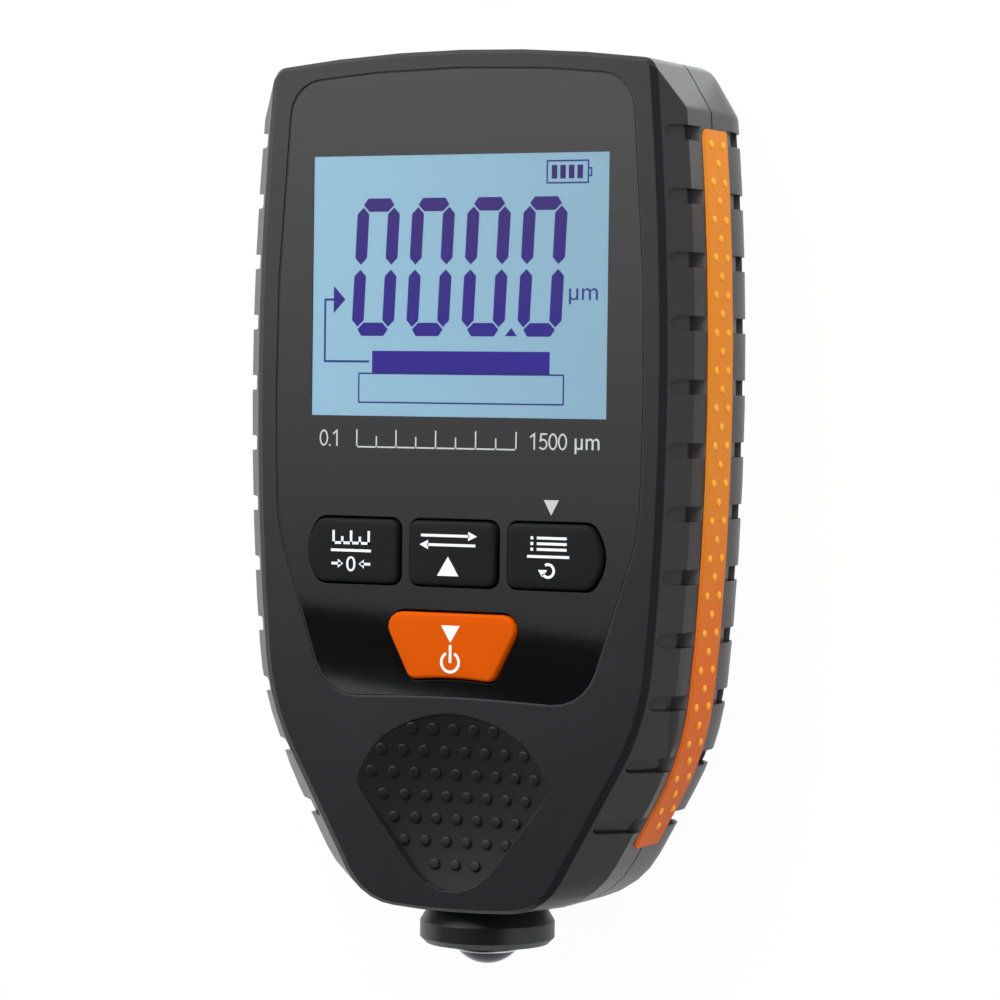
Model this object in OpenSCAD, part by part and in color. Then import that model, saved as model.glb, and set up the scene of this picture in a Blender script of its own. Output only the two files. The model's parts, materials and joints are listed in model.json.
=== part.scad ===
// Pocket coating thickness gauge lying on its back.
// The display faces +Z, the display end is towards +Y and the spring-loaded probe towards -Y.
// Lengths named "down" are measured along the body from the edge of its display end.

/* [Body] */
// Widest width of the body, across the flanks
body_w = 66.4; // [64:0.2:74]
// Length of the body without the probe
body_l = 115.2; // [112:0.2:130]
// Thickness from the back to the front face
body_t = 26; // [25.5:0.5:32]
// Radius of the bulging flanks
flank_r = 424; // [300:1:800]
// Distance from the display end to the widest line
widest_down = 44.5; // [38:0.5:52]
// Radius of the bowed display end
top_r = 215; // [120:1:600]
// Radius of the bowed probe end
foot_arc_r = 144; // [90:1:400]
// Width of the cut corners at the display end
corner_w = 3.9; // [2:0.1:6]
// Length of the cut corners at the display end
corner_l = 5.9; // [3:0.1:8]
// Distance from the display end to the start of the taper
taper_down = 93; // [88:0.5:97]
// Angle of the tapered flanks
taper_angle = 29.3; // [22:0.1:33]
// How far the tapered flanks swell between the front face and the back
taper_swell = 1.4; // [0:0.1:2]
// Height over which the swell keeps its full width in front of the grip strip
swell_band = 2.2; // [0.5:0.1:2.3]
// Radius that blends the flanks into the taper
blend_r = 38; // [20:1:45]
// Radius of the corners beside the probe
foot_r = 13; // [8:0.5:14]
// Width of the bevel along the front of the flanks
bevel_w = 3; // [1.5:0.1:4]
// Depth of the bevel along the front of the flanks
bevel_h = 3.35; // [2:0.05:4.5]
// Softening of the front edge
rim_soft = 0.5; // [0.2:0.05:0.8]
// Inset of the rounding along the back edge
back_round_w = 5; // [3:0.1:6]
// Height of the rounding along the back edge
back_round_h = 8; // [4:0.1:9]
// Thickness of the front wall
front_wall = 3.2; // [3:0.1:3.8]
// Thickness of the back wall
back_wall = 2; // [1.6:0.1:2.4]
// Thickness of the flank walls
side_wall = 3.6; // [3:0.1:4]
// Thickness of the end wall behind the display end
end_wall = 2.5; // [2:0.1:3]
// Thickness of the end block that carries the probe
foot_wall = 6.5; // [6:0.1:8]
// Height of the parting line between the shells
parting_h = 14.6; // [14.4:0.1:15]

/* [Flank slots] */
// Slots along each flank
slot_count = 12; // [8:1:12]
// Distance between slots
slot_pitch = 8.29; // [7.5:0.01:8.4]
// Distance from the display end to the first slot
slot_first_down = 11.4; // [10:0.1:13]
// Width of a slot
slot_w = 2; // [1.4:0.1:3]
// Depth of a slot in the side of the flank
slot_depth = 1.3; // [0.9:0.1:1.6]
// Depth of a slot's round end in the bevel
slot_bevel_depth = 0.5; // [0.3:0.05:0.6]
// Distance from the front face to a slot's round end
slot_front_gap = 0.8; // [0.7:0.1:2]
// Length of the deep pocket beside the grip strip
pocket_l = 2.2; // [1:0.1:2.5]
// Depth of the pocket
pocket_depth = 2.6; // [2:0.1:2.8]
// Wall between the pocket and the grip strip
pocket_wall = 0.3; // [0.3:0.05:0.8]

/* [Grip strips] */
// Width of a grip strip
strip_w = 8.2; // [6:0.05:9]
// Distance from the front face to a grip strip
strip_front_gap = 7.75; // [7:0.05:8.5]
// Depth of the groove that holds a grip strip
strip_depth = 1.8; // [1.4:0.1:2.2]
// How far a grip strip stands proud of the flank
strip_proud = 0.3; // [0.1:0.05:0.6]
// Distance from the display end to a grip strip
strip_down = 10.6; // [9.5:0.1:13]
// Distance from the probe end of the body to a grip strip
strip_up = 9.2; // [8:0.1:14]

/* [Window panel] */
// Thickness of the window panel
panel_t = 1.5; // [1:0.1:1.6]
// How far the panel lies below the rim
panel_sink = 0.15; // [0.1:0.05:0.3]
// Gap around the panel
panel_gap = 0.15; // [0.1:0.05:0.3]
// Width of the body's rim beside the panel
panel_rim = 2.8; // [2:0.1:4]
// Width of the body's rim above the panel
panel_top_rim = 2.5; // [2:0.1:4]
// Distance from the display end to the panel's lower edge
panel_end_down = 86.9; // [86:0.1:88]
// Half width of the panel's lower edge
panel_foot_hw = 19.4; // [17:0.1:21]
// Distance from the display end to the panel's waist
panel_waist_down = 64; // [60:0.5:68]
// Rise of the panel's hollow lower edge
panel_hollow = 0.8; // [0.3:0.1:1]

/* [Display] */
// Width of the visible screen
screen_w = 44.2; // [38:0.1:46]
// Height of the visible screen
screen_h = 35; // [30:0.1:36]
// Distance from the display end to the screen
screen_down = 13.9; // [13:0.1:16]
// Border of the display glass hidden by the panel
glass_border = 1; // [0.6:0.1:1.2]
// Contact ledge of the display glass below the screen
glass_ledge = 3; // [2.6:0.1:3.4]
// Thickness of the display glass
glass_t = 2; // [1.6:0.1:2.2]
// Wall of the display frame
frame_wall = 1.3; // [1:0.1:1.5]
// Thickness of the light guide
guide_t = 3; // [2:0.1:3.4]

/* [Keys] */
// Distance from the display end to the middle of the key row
key_row_down = 67.1; // [66:0.1:68]
// Height of the keys in the row
key_h = 8.6; // [8:0.1:9.6]
// Half width of the middle key
key_mid_hw = 6.45; // [5.5:0.05:6.9]
// Web between neighbouring keys
key_web = 1.77; // [1.2:0.01:2]
// Half width of the whole key row
key_row_hw = 22.05; // [20:0.05:22.6]
// Rounding of the outer keys' ends
key_end_bow = 1.9; // [1:0.1:2.4]
// Distance from the display end to the power key
power_down = 75.1; // [74.8:0.1:75.6]
// Height of the power key
power_h = 9; // [7.5:0.1:9.2]
// Half width of the power key's upper edge
power_top_hw = 10.8; // [8.5:0.1:11.2]
// Half width of the power key's lower edge
power_foot_hw = 6.2; // [5.6:0.1:8]
// How far the keys stand above the front face
key_proud = 0.9; // [0.7:0.1:1.4]
// Travel of a key
key_travel = 0.6; // [0.3:0.05:0.7]
// Gap around a key
key_gap = 0.3; // [0.2:0.05:0.4]

/* [Thumb rest] */
// Distance from the display end to the thumb rest
thumb_down = 88.6; // [88.4:0.1:89.5]
// Length of the thumb rest
thumb_l = 23.6; // [20:0.1:23.8]
// Half width of the thumb rest
thumb_hw = 16; // [13:0.1:17]
// Depth of the thumb rest
thumb_depth = 2; // [1:0.1:2.2]
// Spacing of the raised dots
thumb_dot_pitch = 3.07; // [2.8:0.01:3.1]
// Height of the raised dots
thumb_dot_h = 0.4; // [0.2:0.05:0.5]

/* [Circuit board] */
// Thickness of the board
board_t = 1.6; // [1.2:0.1:1.8]
// Gap from the front wall to the board's front
board_drop = 5; // [4.9:0.1:5.2]
// Distance from the display end to the board's lower edge
board_end_down = 86.5; // [86:0.1:87]
// Shank diameter of the board screws
board_screw_d = 1.8; // [1.6:0.1:2.2]

/* [Case screws] */
// Shank diameter of the case screws
case_screw_d = 2.4; // [2:0.1:2.8]
// Outer diameter of the screw pillars
pillar_d = 7; // [6.4:0.1:7.2]

/* [Battery bay] */
// Diameter of a cell
cell_d = 10.4; // [10:0.1:10.6]
// Length of a cell with its button
cell_l = 44.5; // [43:0.1:45]
// Room at a cell's flat end for its spring
spring_room = 4; // [3.4:0.1:4.4]
// Width of the battery cover
cover_w = 28; // [27:0.2:30]
// Distance from the display end to the battery bay
bay_down = 4.2; // [3.8:0.1:5]
// Width of the tongues along the battery cover
tongue_w = 1; // [0.6:0.1:1.4]
// Running gap around the battery cover
cover_gap = 0.15; // [0.1:0.05:0.25]

/* [Probe] */
// How far the probe stands out of the body
probe_out = 8.2; // [7.6:0.1:11]
// Diameter of the probe's collar
collar_d = 18.4; // [16:0.1:19]
// Length of the collar's straight wall
collar_l = 2.9; // [2.4:0.1:3.4]
// Diameter of the probe's neck
neck_d = 12; // [10:0.1:12.4]
// Diameter of the measuring tip
tip_d = 9.4; // [7:0.1:10]
// Travel of the probe
probe_travel = 1.5; // [0.8:0.1:1.6]
// Sliding clearance of the neck in its bush, on the radius
bush_fit = 0.05; // [0.03:0.01:0.08]

/* [Hidden] */
$fn = 64;

// Reference planes: the bounding box is centred on the origin, with the back at z = 0
y_top = (body_l + probe_out) / 2;
y_bot = y_top - body_l;
y_tip = -y_top;
z_front = body_t;
z_wall = z_front - front_wall;
z_panel = z_front - panel_sink;
z_seat = z_panel - panel_t;
z_board = z_wall - board_drop;
z_back_of_board = z_board - board_t;
function y_at(down) = y_top - down;

// Small shared allowances: overshoot of a cut, a loose fit, and a hair of air between seated parts
cut = 1;
loose = 0.3;
hair = 0.05;

// Corner rounding of an outline given as points [x, y, radius]
fillet_steps = 5;
function unit(v) = v / norm(v);
function flat(p) = [p.x, p.y];
function fillet(a, b, c, r) =
    let(u = unit(a - b), v = unit(c - b), half = acos(u * v) / 2,
        mid = b + unit(u + v) * r / sin(half),
        start = b + u * r / tan(half) - mid,
        finish = b + v * r / tan(half) - mid,
        from = atan2(start.y, start.x),
        turn = atan2(cross(start, finish), start * finish))
    [for (i = [0:fillet_steps])
        let(angle = from + turn * i / fillet_steps)
        mid + r * [cos(angle), sin(angle)]];
function rounded(path) =
    let(n = len(path))
    [for (i = [0:n - 1])
        each path[i].z == 0
            ? [flat(path[i])]
            : fillet(flat(path[(i + n - 1) % n]), flat(path[i]), flat(path[(i + 1) % n]), path[i].z)];
function both_halves(half) =
    concat(half, [for (i = [len(half) - 1:-1:0]) if (half[i].x > 0.001) [-half[i].x, half[i].y, half[i].z]]);

// Closed solid through rings of equal length, each given as [z, points]
module loft(rings) {
    n = len(rings[0][1]);
    last = len(rings) - 1;
    points = [for (ring = rings) each [for (p = ring[1]) [p.x, p.y, ring[0]]]];
    walls = [for (k = [0:last - 1]) for (i = [0:n - 1])
        let(a = k * n + i, b = k * n + (i + 1) % n)
        each [[a, a + n, b + n], [a, b + n, b]]];
    polyhedron(points, concat(walls, [[for (i = [0:n - 1]) i]], [[for (i = [n - 1:-1:0]) last * n + i]]));
}

// Outline of the body, drawn in by side_in along the flanks, by end_in and foot_in at its ends,
// and by taper_more beyond side_in along the taper
y_wide = y_at(widest_down);
y_taper = y_at(taper_down);
flank_steps = 7;
corner_least = 0.4;
corner_soft = 2;
arc_steps = 3;
function flank(y) = body_w / 2 - (y - y_wide) ^ 2 / (2 * flank_r);
function top_edge(x) = y_top - x ^ 2 / (2 * top_r);
function foot_edge(x) = y_bot + x ^ 2 / (2 * foot_arc_r);
y_corner = y_top - corner_l - flank(y_top) ^ 2 / (2 * top_r);
corner_side = [flank(y_corner), y_corner];
corner_top = [corner_side.x - corner_w, top_edge(corner_side.x - corner_w)];
corner_normal = unit([corner_top.y - corner_side.y, corner_side.x - corner_top.x]);
function corner_y(x, inset) =
    corner_top.y - (inset + (x - corner_top.x) * corner_normal.x) / corner_normal.y;
function corner_x(y, inset) =
    corner_top.x - (inset + (y - corner_top.y) * corner_normal.y) / corner_normal.x;
function taper_x(y, inset) =
    flank(y_taper) - inset / cos(taper_angle) - (y_taper - y) * tan(taper_angle);
function outline(side_in, end_in, foot_in, taper_more = 0) =
    let(taper_in = side_in + taper_more,
        side_y = corner_y(flank(y_corner) - side_in, end_in),
        side_x = flank(side_y) - side_in,
        top_y = top_edge(corner_top.x) - end_in,
        taper_slope = tan(taper_angle) - (y_wide - y_taper) / flank_r,
        bend_y = y_taper + (taper_in / cos(taper_angle) - side_in) / taper_slope,
        foot_x = taper_x(foot_edge(taper_x(y_bot + foot_in, taper_in)) + foot_in, taper_in),
        top_x = min(corner_x(top_y, end_in), side_x - corner_least),
        side_top = min(corner_y(side_x, end_in), top_y - corner_least),
        soft = min(corner_soft, norm([side_x - top_x, top_y - side_top])))
    rounded(both_halves(concat(
        [[0, y_bot + foot_in, 0]],
        [[foot_x / 3, foot_edge(foot_x / 3) + foot_in, 0]],
        [[foot_x, foot_edge(foot_x) + foot_in, max(foot_r - taper_in, 1)]],
        [[taper_x(bend_y, taper_in), bend_y, blend_r - taper_in]],
        [for (i = [1:flank_steps])
            let(y = bend_y + (side_y - bend_y) * (i + 0.6) / (flank_steps + 1.6))
            [flank(y) - side_in, y, 0]],
        [[side_x, side_top, soft]],
        [[top_x, top_y, soft]],
        [for (i = [arc_steps - 1:-1:0])
            let(x = top_x * i / arc_steps)
            [x, top_edge(x) - end_in, 0]])));

// Outer form of the closed case, drawn in by skin all round: along the taper the bevel starts lower
back_steps = 6;
z_bevel = z_front - bevel_h;
strip_high = z_front - strip_front_gap;
z_swell = strip_high + swell_band;
function back_rings(skin) =
    [for (i = [0:back_steps])
        let(turn = 90 * i / back_steps, part = 1 - sin(turn), inset = skin + back_round_w * part)
        [back_round_h * (1 - cos(turn)), outline(inset, inset, inset, taper_swell * part)]];
function bevel_at(z) = bevel_w * (z - z_bevel) / bevel_h;
function taper_bevel_at(z) =
    (bevel_at(z_front - rim_soft) + taper_swell) * (z - z_swell) / (z_front - rim_soft - z_swell);
module case_form(skin) {
    z_rim = z_front - rim_soft;
    loft(concat(
        back_rings(skin),
        [[z_swell, outline(skin, skin, skin)]],
        [[z_bevel, outline(skin, skin, skin, taper_bevel_at(z_bevel))]],
        [[z_rim, outline(skin + bevel_at(z_rim), skin, skin, taper_swell)]],
        [[z_front, outline(skin + bevel_w + rim_soft, skin + rim_soft, skin + rim_soft, taper_swell)]]));
}

// Hollow between the front and back walls
module case_hollow() {
    shoulder = 2;
    tuck = side_wall + back_round_w / 2;
    loft([
        [back_wall, outline(tuck, tuck, foot_wall, taper_swell)],
        [back_wall + shoulder, outline(side_wall, end_wall, foot_wall, taper_swell)],
        [z_wall, outline(side_wall, end_wall, foot_wall, taper_swell)]]);
}

// Part of space above or below a height
module slab(low, high) {
    translate([-body_w, -body_l, low])
        cube([2 * body_w, 2 * body_l, high - low]);
}

// Slots around both flanks: each starts with a round end on the bevel and runs back to the rear edge
y_slots = [for (i = [0:slot_count - 1])
    let(y = y_at(slot_first_down + i * slot_pitch))
    if (y - slot_w > y_bot + strip_up) y];
slot_low = back_round_h / 5;
module slot_bars() {
    slot_high = z_front - slot_front_gap - slot_w / 2;
    for (y = y_slots) {
        translate([-body_w, y, slot_high])
            rotate([0, 90, 0])
                cylinder(d = slot_w, h = 2 * body_w);
        for (span = [[slot_low, strip_low - pocket_wall], [strip_high + pocket_wall, slot_high]])
            translate([-body_w, y - slot_w / 2, span[0]])
                cube([2 * body_w, slot_w, span[1] - span[0]]);
    }
}
module slot_cuts() {
    end_in = slot_bevel_depth * sqrt(1 + (bevel_w / bevel_h) ^ 2);
    step = end_in - slot_depth;
    z_over = z_front + cut;
    difference() {
        slot_bars();
        loft(concat(
            back_rings(slot_depth),
            [[z_swell, outline(slot_depth, slot_depth, slot_depth)]],
            [[z_swell + hair, outline(slot_depth, slot_depth, slot_depth, step)]],
            [[z_bevel - hair, outline(slot_depth, slot_depth, slot_depth, step + taper_bevel_at(z_bevel))]],
            [[z_bevel, outline(end_in, end_in, end_in, taper_bevel_at(z_bevel))]],
            [[z_over, outline(end_in + bevel_at(z_over), end_in, end_in, taper_swell)]]));
    }
}

// Grooves for the grip strips, and a deep pocket beside the strip in each slot
strip_low = strip_high - strip_w;
y_strip_top = y_at(strip_down);
y_strip_bot = y_bot + strip_up;
strip_corner_r = 1.2;
module strip_span() {
    translate([-body_w, 0, 0])
        rotate([90, 0, 90])
            linear_extrude(2 * body_w)
                polygon(rounded([
                    [y_strip_bot, strip_low, strip_corner_r],
                    [y_strip_top, strip_low, strip_corner_r],
                    [y_strip_top, strip_high, strip_corner_r],
                    [y_strip_bot, strip_high, strip_corner_r]]));
}
module strip_core() {
    core = outline(strip_depth, strip_depth, strip_depth);
    loft([[-cut, core], [z_front + cut, core]]);
}
module strip_cuts() {
    pocket_core = outline(pocket_depth, pocket_depth, pocket_depth);
    difference() {
        strip_span();
        strip_core();
    }
    difference() {
        for (y = y_slots)
            translate([-body_w, y - slot_w / 2, strip_high + pocket_wall])
                cube([2 * body_w, slot_w, pocket_l]);
        loft([[-cut, pocket_core], [z_front + cut, pocket_core]]);
    }
}

// Fine groove that shows where the shells meet
parting_line = 0.3;
module parting_groove() {
    core = outline(parting_line, parting_line, parting_line);
    difference() {
        slab(parting_h - cut, parting_h + parting_line);
        loft([[parting_h - 2 * cut, core], [parting_h + cut, core]]);
    }
}

// Window panel outline, grown by grow
panel_corner_r = 5;
panel_foot_r = 6.5;
panel_waist_r = 26;
panel_hollow_r = 250;
panel_low_step = 10;
panel_high_step = 14;
panel_side_downs = [widest_down + panel_low_step, widest_down, widest_down - panel_high_step];
y_panel_end = y_at(panel_end_down);
y_panel_waist = y_at(panel_waist_down);
function panel_outline(grow) =
    let(side_in = bevel_w + panel_rim - grow,
        top_y = y_top - panel_top_rim + grow,
        top_x = flank(top_y) - side_in,
        edge_y = top_y - top_x ^ 2 / (2 * top_r))
    rounded(both_halves([
        [0, y_panel_end + panel_hollow - grow, panel_hollow_r],
        [panel_foot_hw + grow, y_panel_end - grow, panel_foot_r],
        [flank(y_panel_waist) - side_in, y_panel_waist, panel_waist_r],
        each [for (down = panel_side_downs) [flank(y_at(down)) - side_in, y_at(down), 0]],
        [top_x, edge_y, panel_corner_r],
        [top_x / 2, top_y - (top_x / 2) ^ 2 / (2 * top_r), 0],
        [0, top_y, 0]]));

// Key outlines, drawn in by inset: the outer keys have bowed outer ends
y_key_row = y_at(key_row_down);
key_inner_x = key_mid_hw + key_web;
key_corner_r = 1.2;
key_end_corner_r = 1.6;
key_least_r = 0.3;
function key_corner(r, inset) = max(r - inset, key_least_r);
function middle_key(inset) =
    let(w = key_mid_hw - inset, h = key_h / 2 - inset, r = key_corner(key_corner_r, inset))
    rounded([
        [w, y_key_row + h, r],
        [-w, y_key_row + h, r],
        [-w, y_key_row - h, r],
        [w, y_key_row - h, r]]);
function outer_key(side, inset) =
    let(near = key_inner_x + inset, far = key_row_hw - inset, h = side * (key_h / 2 - inset),
        r = key_corner(key_corner_r, inset), end_r = key_corner(key_end_corner_r, inset))
    rounded(concat(
        [[side * near, y_key_row - h, r]],
        [[side * (far - key_end_bow), y_key_row - h, end_r]],
        [for (t = [-0.75:0.25:0.75]) [side * (far - key_end_bow * t ^ 2), y_key_row + h * t, 0]],
        [[side * (far - key_end_bow), y_key_row + h, end_r]],
        [[side * near, y_key_row + h, r]]));
y_power_top = y_at(power_down);
y_power = y_power_top - power_h / 2;
power_hollow = 0.5;
power_hollow_r = 45;
power_top_r = 2;
power_foot_r = 1.3;
function power_key(inset) =
    let(top = y_power_top - inset, foot = y_power_top - power_h + inset,
        top_hw = power_top_hw - inset, foot_hw = power_foot_hw - inset / 2)
    rounded([
        [top_hw, top, key_corner(power_top_r, inset)],
        [-top_hw, top, key_corner(power_top_r, inset)],
        [-foot_hw, foot, key_corner(power_foot_r, inset)],
        [0, foot + power_hollow, power_hollow_r],
        [foot_hw, foot, key_corner(power_foot_r, inset)]]);
module key_holes(low, high, gap) {
    translate([0, 0, low])
        linear_extrude(high - low) {
            polygon(outer_key(-1, -gap));
            polygon(middle_key(-gap));
            polygon(outer_key(1, -gap));
            polygon(power_key(-gap));
        }
}
x_outer_key = (key_inner_x + key_row_hw) / 2;
key_places = [[-x_outer_key, y_key_row], [0, y_key_row], [x_outer_key, y_key_row], [0, y_power]];

// Thumb rest: a shield-shaped dish with rows of raised dots
y_thumb_top = y_at(thumb_down);
y_thumb_end = y_thumb_top - thumb_l;
thumb_tip_r = 7.6;
thumb_crown_r = 16.1;
thumb_side_l = 8.2;
thumb_corner_r = 4.5;
thumb_crown_hw = 0.7 * thumb_hw;
crown_steps = 6;
thumb_half_angle = 37;
y_thumb_side = y_thumb_top - thumb_side_l;
dish_r = 60;
dish_up = 9.1;
dish_y = y_thumb_end + dish_up;
dish_z = z_front - thumb_depth + dish_r;
thumb_rows = [5, 8, 9, 8, 7, 6, 3];
thumb_row_first = 2;
thumb_dot_r = 0.85;
function dish_floor(x, y) = dish_z - sqrt(dish_r ^ 2 - x ^ 2 - (y - dish_y) ^ 2);
function thumb_outline() =
    let(tip_y = y_thumb_end - thumb_tip_r * (1 / sin(thumb_half_angle) - 1))
    rounded(both_halves([
        [0, tip_y, thumb_tip_r],
        [thumb_hw, y_thumb_side, thumb_corner_r],
        each [for (i = [crown_steps:-1:0])
            let(x = thumb_crown_hw * i / crown_steps)
            [x, y_thumb_top - x ^ 2 / (2 * thumb_crown_r), 0]]]));
module thumb_dish() {
    intersection() {
        translate([0, 0, z_wall])
            linear_extrude(front_wall + cut)
                polygon(thumb_outline());
        translate([0, dish_y, dish_z])
            sphere(r = dish_r);
    }
}
module thumb_dots() {
    for (i = [0:len(thumb_rows) - 1], j = [0:thumb_rows[i] - 1])
        let(x = (j - (thumb_rows[i] - 1) / 2) * thumb_dot_pitch,
            y = y_thumb_top - thumb_row_first - i * thumb_dot_pitch)
            translate([x, y, dish_floor(x, y) + thumb_dot_h - thumb_dot_r])
                sphere(r = thumb_dot_r, $fn = 24);
}

// Display stack behind the panel: glass on its frame, light guide and contact strip inside the frame
y_screen_top = y_at(screen_down);
y_screen_bot = y_screen_top - screen_h;
glass_w = screen_w + 2 * glass_border;
y_glass_top = y_screen_top + glass_border;
y_glass_bot = y_screen_bot - glass_ledge;
z_glass_top = z_seat - 2 * hair;
z_glass = z_glass_top - glass_t;
frame_lip = 0.9;
module box_between(x0, x1, y0, y1, z0, z1) {
    translate([x0, y0, z0])
        cube([x1 - x0, y1 - y0, z1 - z0]);
}
module glass_space(gap, low, high) {
    box_between(-glass_w / 2 - gap, glass_w / 2 + gap, y_glass_bot - gap, y_glass_top + gap, low, high);
}

// Screw places: pillars join the shells, posts carry the board
top_pillar_in = 5;
top_pillar_down = 7.2;
foot_pillar_in = 5.5;
foot_pillar_up = 17.5;
top_post_in = 3.9;
top_post_drop = 7.8;
foot_post_out = 5.7;
foot_post_drop = 2;
post_wall = 1.3;
y_top_pillar = y_at(top_pillar_down);
y_foot_pillar = y_bot + foot_pillar_up;
y_top_post = y_screen_bot - top_post_drop;
top_pillar = [flank(y_top_pillar) - side_wall - top_pillar_in, y_top_pillar];
foot_pillar = [taper_x(y_foot_pillar, side_wall + taper_swell) - foot_pillar_in, y_foot_pillar];
top_post = [flank(y_top_post) - side_wall - top_post_in, y_top_post];
foot_post = [power_top_hw + foot_post_out, y_power - foot_post_drop];
post_d = board_screw_d + 2 * post_wall;
function mirrored(p) = [[-p.x, p.y], p];
pillars = concat(mirrored(top_pillar), mirrored(foot_pillar));
posts = concat(mirrored(top_post), mirrored(foot_post));
screw_fit = 0.05;
case_head_d = case_screw_d * 2;
case_head_h = 1.8;
case_screw_short = 2;
case_head_z = 2.2;
case_screw_end = z_wall - case_screw_short;
board_head_d = board_screw_d * 2;
board_head_h = 1.2;
board_screw_short = 1;
board_screw_end = z_wall - board_screw_short;

// Battery bay, opened at the back by a cover that slides off over the display end
cell_gap = 0.6;
cell_pitch = cell_d + cell_gap;
cell_room = 0.4;
bay_hw = cell_pitch / 2 + cell_d / 2 + cell_room;
bay_wall = 1.2;
contact_t = 0.4;
bay_l = cell_l + spring_room + 2 * contact_t + 4 * hair;
y_bay_top = y_at(bay_down);
y_bay_bot = y_bay_top - bay_l;
cover_t = back_wall;
z_cell = cover_t + 2 * cover_gap + cell_d / 2;
z_bay = z_cell + cell_d / 2 + loose;
cover_lap = 1.5;
y_cover = y_bay_bot - cover_lap;
rail_w = 1.2;
rail_t = 1.4;
rail_hw = cover_w / 2 + tongue_w + rail_w;
tongue_low = cover_t * 0.35;
tongue_high = cover_t * 0.7;
tongue_down = 7;
y_tongue_top = y_top - tongue_down;
module cover_form(gap, past) {
    box_between(-cover_w / 2 - gap, cover_w / 2 + gap, y_cover - gap, y_top + past, -past, cover_t + gap);
    box_between(-cover_w / 2 - tongue_w - gap, cover_w / 2 + tongue_w + gap, y_cover - gap,
        past > 0 ? y_top + past : y_tongue_top, tongue_low - gap, tongue_high + gap);
}

// Probe: a spring-loaded sleeve in a bush that both shells clamp
z_probe = parting_h;
collar_soft = 0.8;
cone_l = 2.6;
cone_d = 15.4;
tip_l = 2.9;
y_ring = y_tip + tip_l;
y_collar = y_ring + collar_l + 2 * hair;
y_cone = y_collar + cone_l;
well_gap = 0.4;
y_well = y_cone + probe_travel + well_gap / 2;
bush_l = 12.3;
bush_wall = 1.7;
bush_d = neck_d + 2 * bush_wall;
bush_flange_rim = 1;
bush_flange_d = bush_d + 2 * bush_flange_rim;
bush_flange_l = 1.6;
bush_flange_up = 2.3;
y_bush = y_well + 2 * hair;
y_flange = y_bush + bush_flange_up;
y_bush_top = y_bush + bush_l;
clip_l = 0.8;
clip_groove = 0.9;
clip_rim = 1.3;
clip_mouth = 3;
y_clip = y_bush_top + hair;
neck_past_bush = 2.2;
y_neck_top = y_bush_top + neck_past_bush;
spring_l = 7;
spring_d = 8.6;
spring_wire = 0.8;
spring_turns = 5;
spring_steps = 14;
y_stop = y_neck_top + spring_l;
stop_t = 1.6;
stop_rim = 2;
core_d = 4;
bobbin_wall = 0.6;
bobbin_cheek = 0.8;
bobbin_d = 7.6;
coil_d = 7.2;
sleeve_bore = 8;
coil_l = 13;
y_coil_top = y_ring + coil_l;
lead_d = 1.2;

// Solid of revolution along +Y on the probe's axis, from [radius, y] points
module turned(profile) {
    translate([0, 0, z_probe])
        rotate([-90, 0, 0])
            rotate_extrude()
                polygon(profile);
}
module rod(d, y0, y1) {
    translate([0, y0, z_probe])
        rotate([-90, 0, 0])
            cylinder(d = d, h = y1 - y0);
}

// Tube of round wire swept along a list of points
wire_sides = 8;
function ring_at(path, i, d) =
    let(n = len(path) - 1,
        ahead = unit(path[min(i + 1, n)] - path[max(i - 1, 0)]),
        side = unit(cross(ahead, abs(ahead.z) < 0.9 ? [0, 0, 1] : [1, 0, 0])),
        up = cross(side, ahead))
    [for (k = [0:wire_sides - 1])
        let(turn = 360 * k / wire_sides)
        path[i] + d / 2 * (cos(turn) * side + sin(turn) * up)];
module wire(path, d) {
    n = len(path);
    points = [for (i = [0:n - 1]) each ring_at(path, i, d)];
    walls = [for (i = [0:n - 2]) for (k = [0:wire_sides - 1])
        let(a = i * wire_sides + k, b = i * wire_sides + (k + 1) % wire_sides)
        each [[a, b, b + wire_sides], [a, b + wire_sides, a + wire_sides]]];
    polyhedron(points, concat(walls, [[for (k = [wire_sides - 1:-1:0]) k]],
        [[for (k = [0:wire_sides - 1]) (n - 1) * wire_sides + k]]));
}
// Coil along +Y from diameter d0 to d1, with its wire's outside held between the two ends
function coil_path(l, d0, d1, turns, wire_d, steps) =
    [for (i = [0:turns * steps])
        let(t = i / (turns * steps), turn = 360 * i / steps, r = (d0 + (d1 - d0) * t - wire_d) / 2)
        [r * cos(turn), wire_d / 2 + (l - wire_d) * t, r * sin(turn)]];

module front_shell() {
    color("#2c2b2d")
        difference() {
            union() {
                difference() {
                    case_form(0);
                    slab(-cut, parting_h);
                    case_hollow();
                    thumb_dish();
                }
                intersection() {
                    slab(z_wall + hair, z_front);
                    thumb_dots();
                }
                for (p = pillars)
                    translate([p.x, p.y, parting_h])
                        cylinder(d = pillar_d, h = z_wall - parting_h + hair);
                for (p = posts)
                    translate([p.x, p.y, z_board])
                        cylinder(d = post_d, h = z_wall - z_board + hair);
            }
            slot_cuts();
            strip_cuts();
            parting_groove();
            translate([0, 0, z_seat])
                linear_extrude(panel_t + panel_sink + cut)
                    polygon(panel_outline(panel_gap));
            glass_space(loose / 2, z_wall - cut, z_seat + cut);
            key_holes(z_wall - cut, z_seat + cut, key_gap + 0.1);
            for (p = pillars)
                translate([p.x, p.y, parting_h - cut])
                    cylinder(d = case_screw_d + 2 * screw_fit, h = case_screw_end + loose - parting_h + cut);
            for (p = posts)
                translate([p.x, p.y, z_board - cut])
                    cylinder(d = board_screw_d + 2 * screw_fit, h = board_screw_end + loose - z_board + cut);
            probe_well();
        }
}

module probe_well() {
    rod(collar_d, y_tip, y_well);
    rod(bush_d + 2 * hair, y_well - cut, y_neck_top);
    rod(bush_flange_d + 2 * hair, y_flange - hair, y_flange + bush_flange_l + hair);
}

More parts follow.
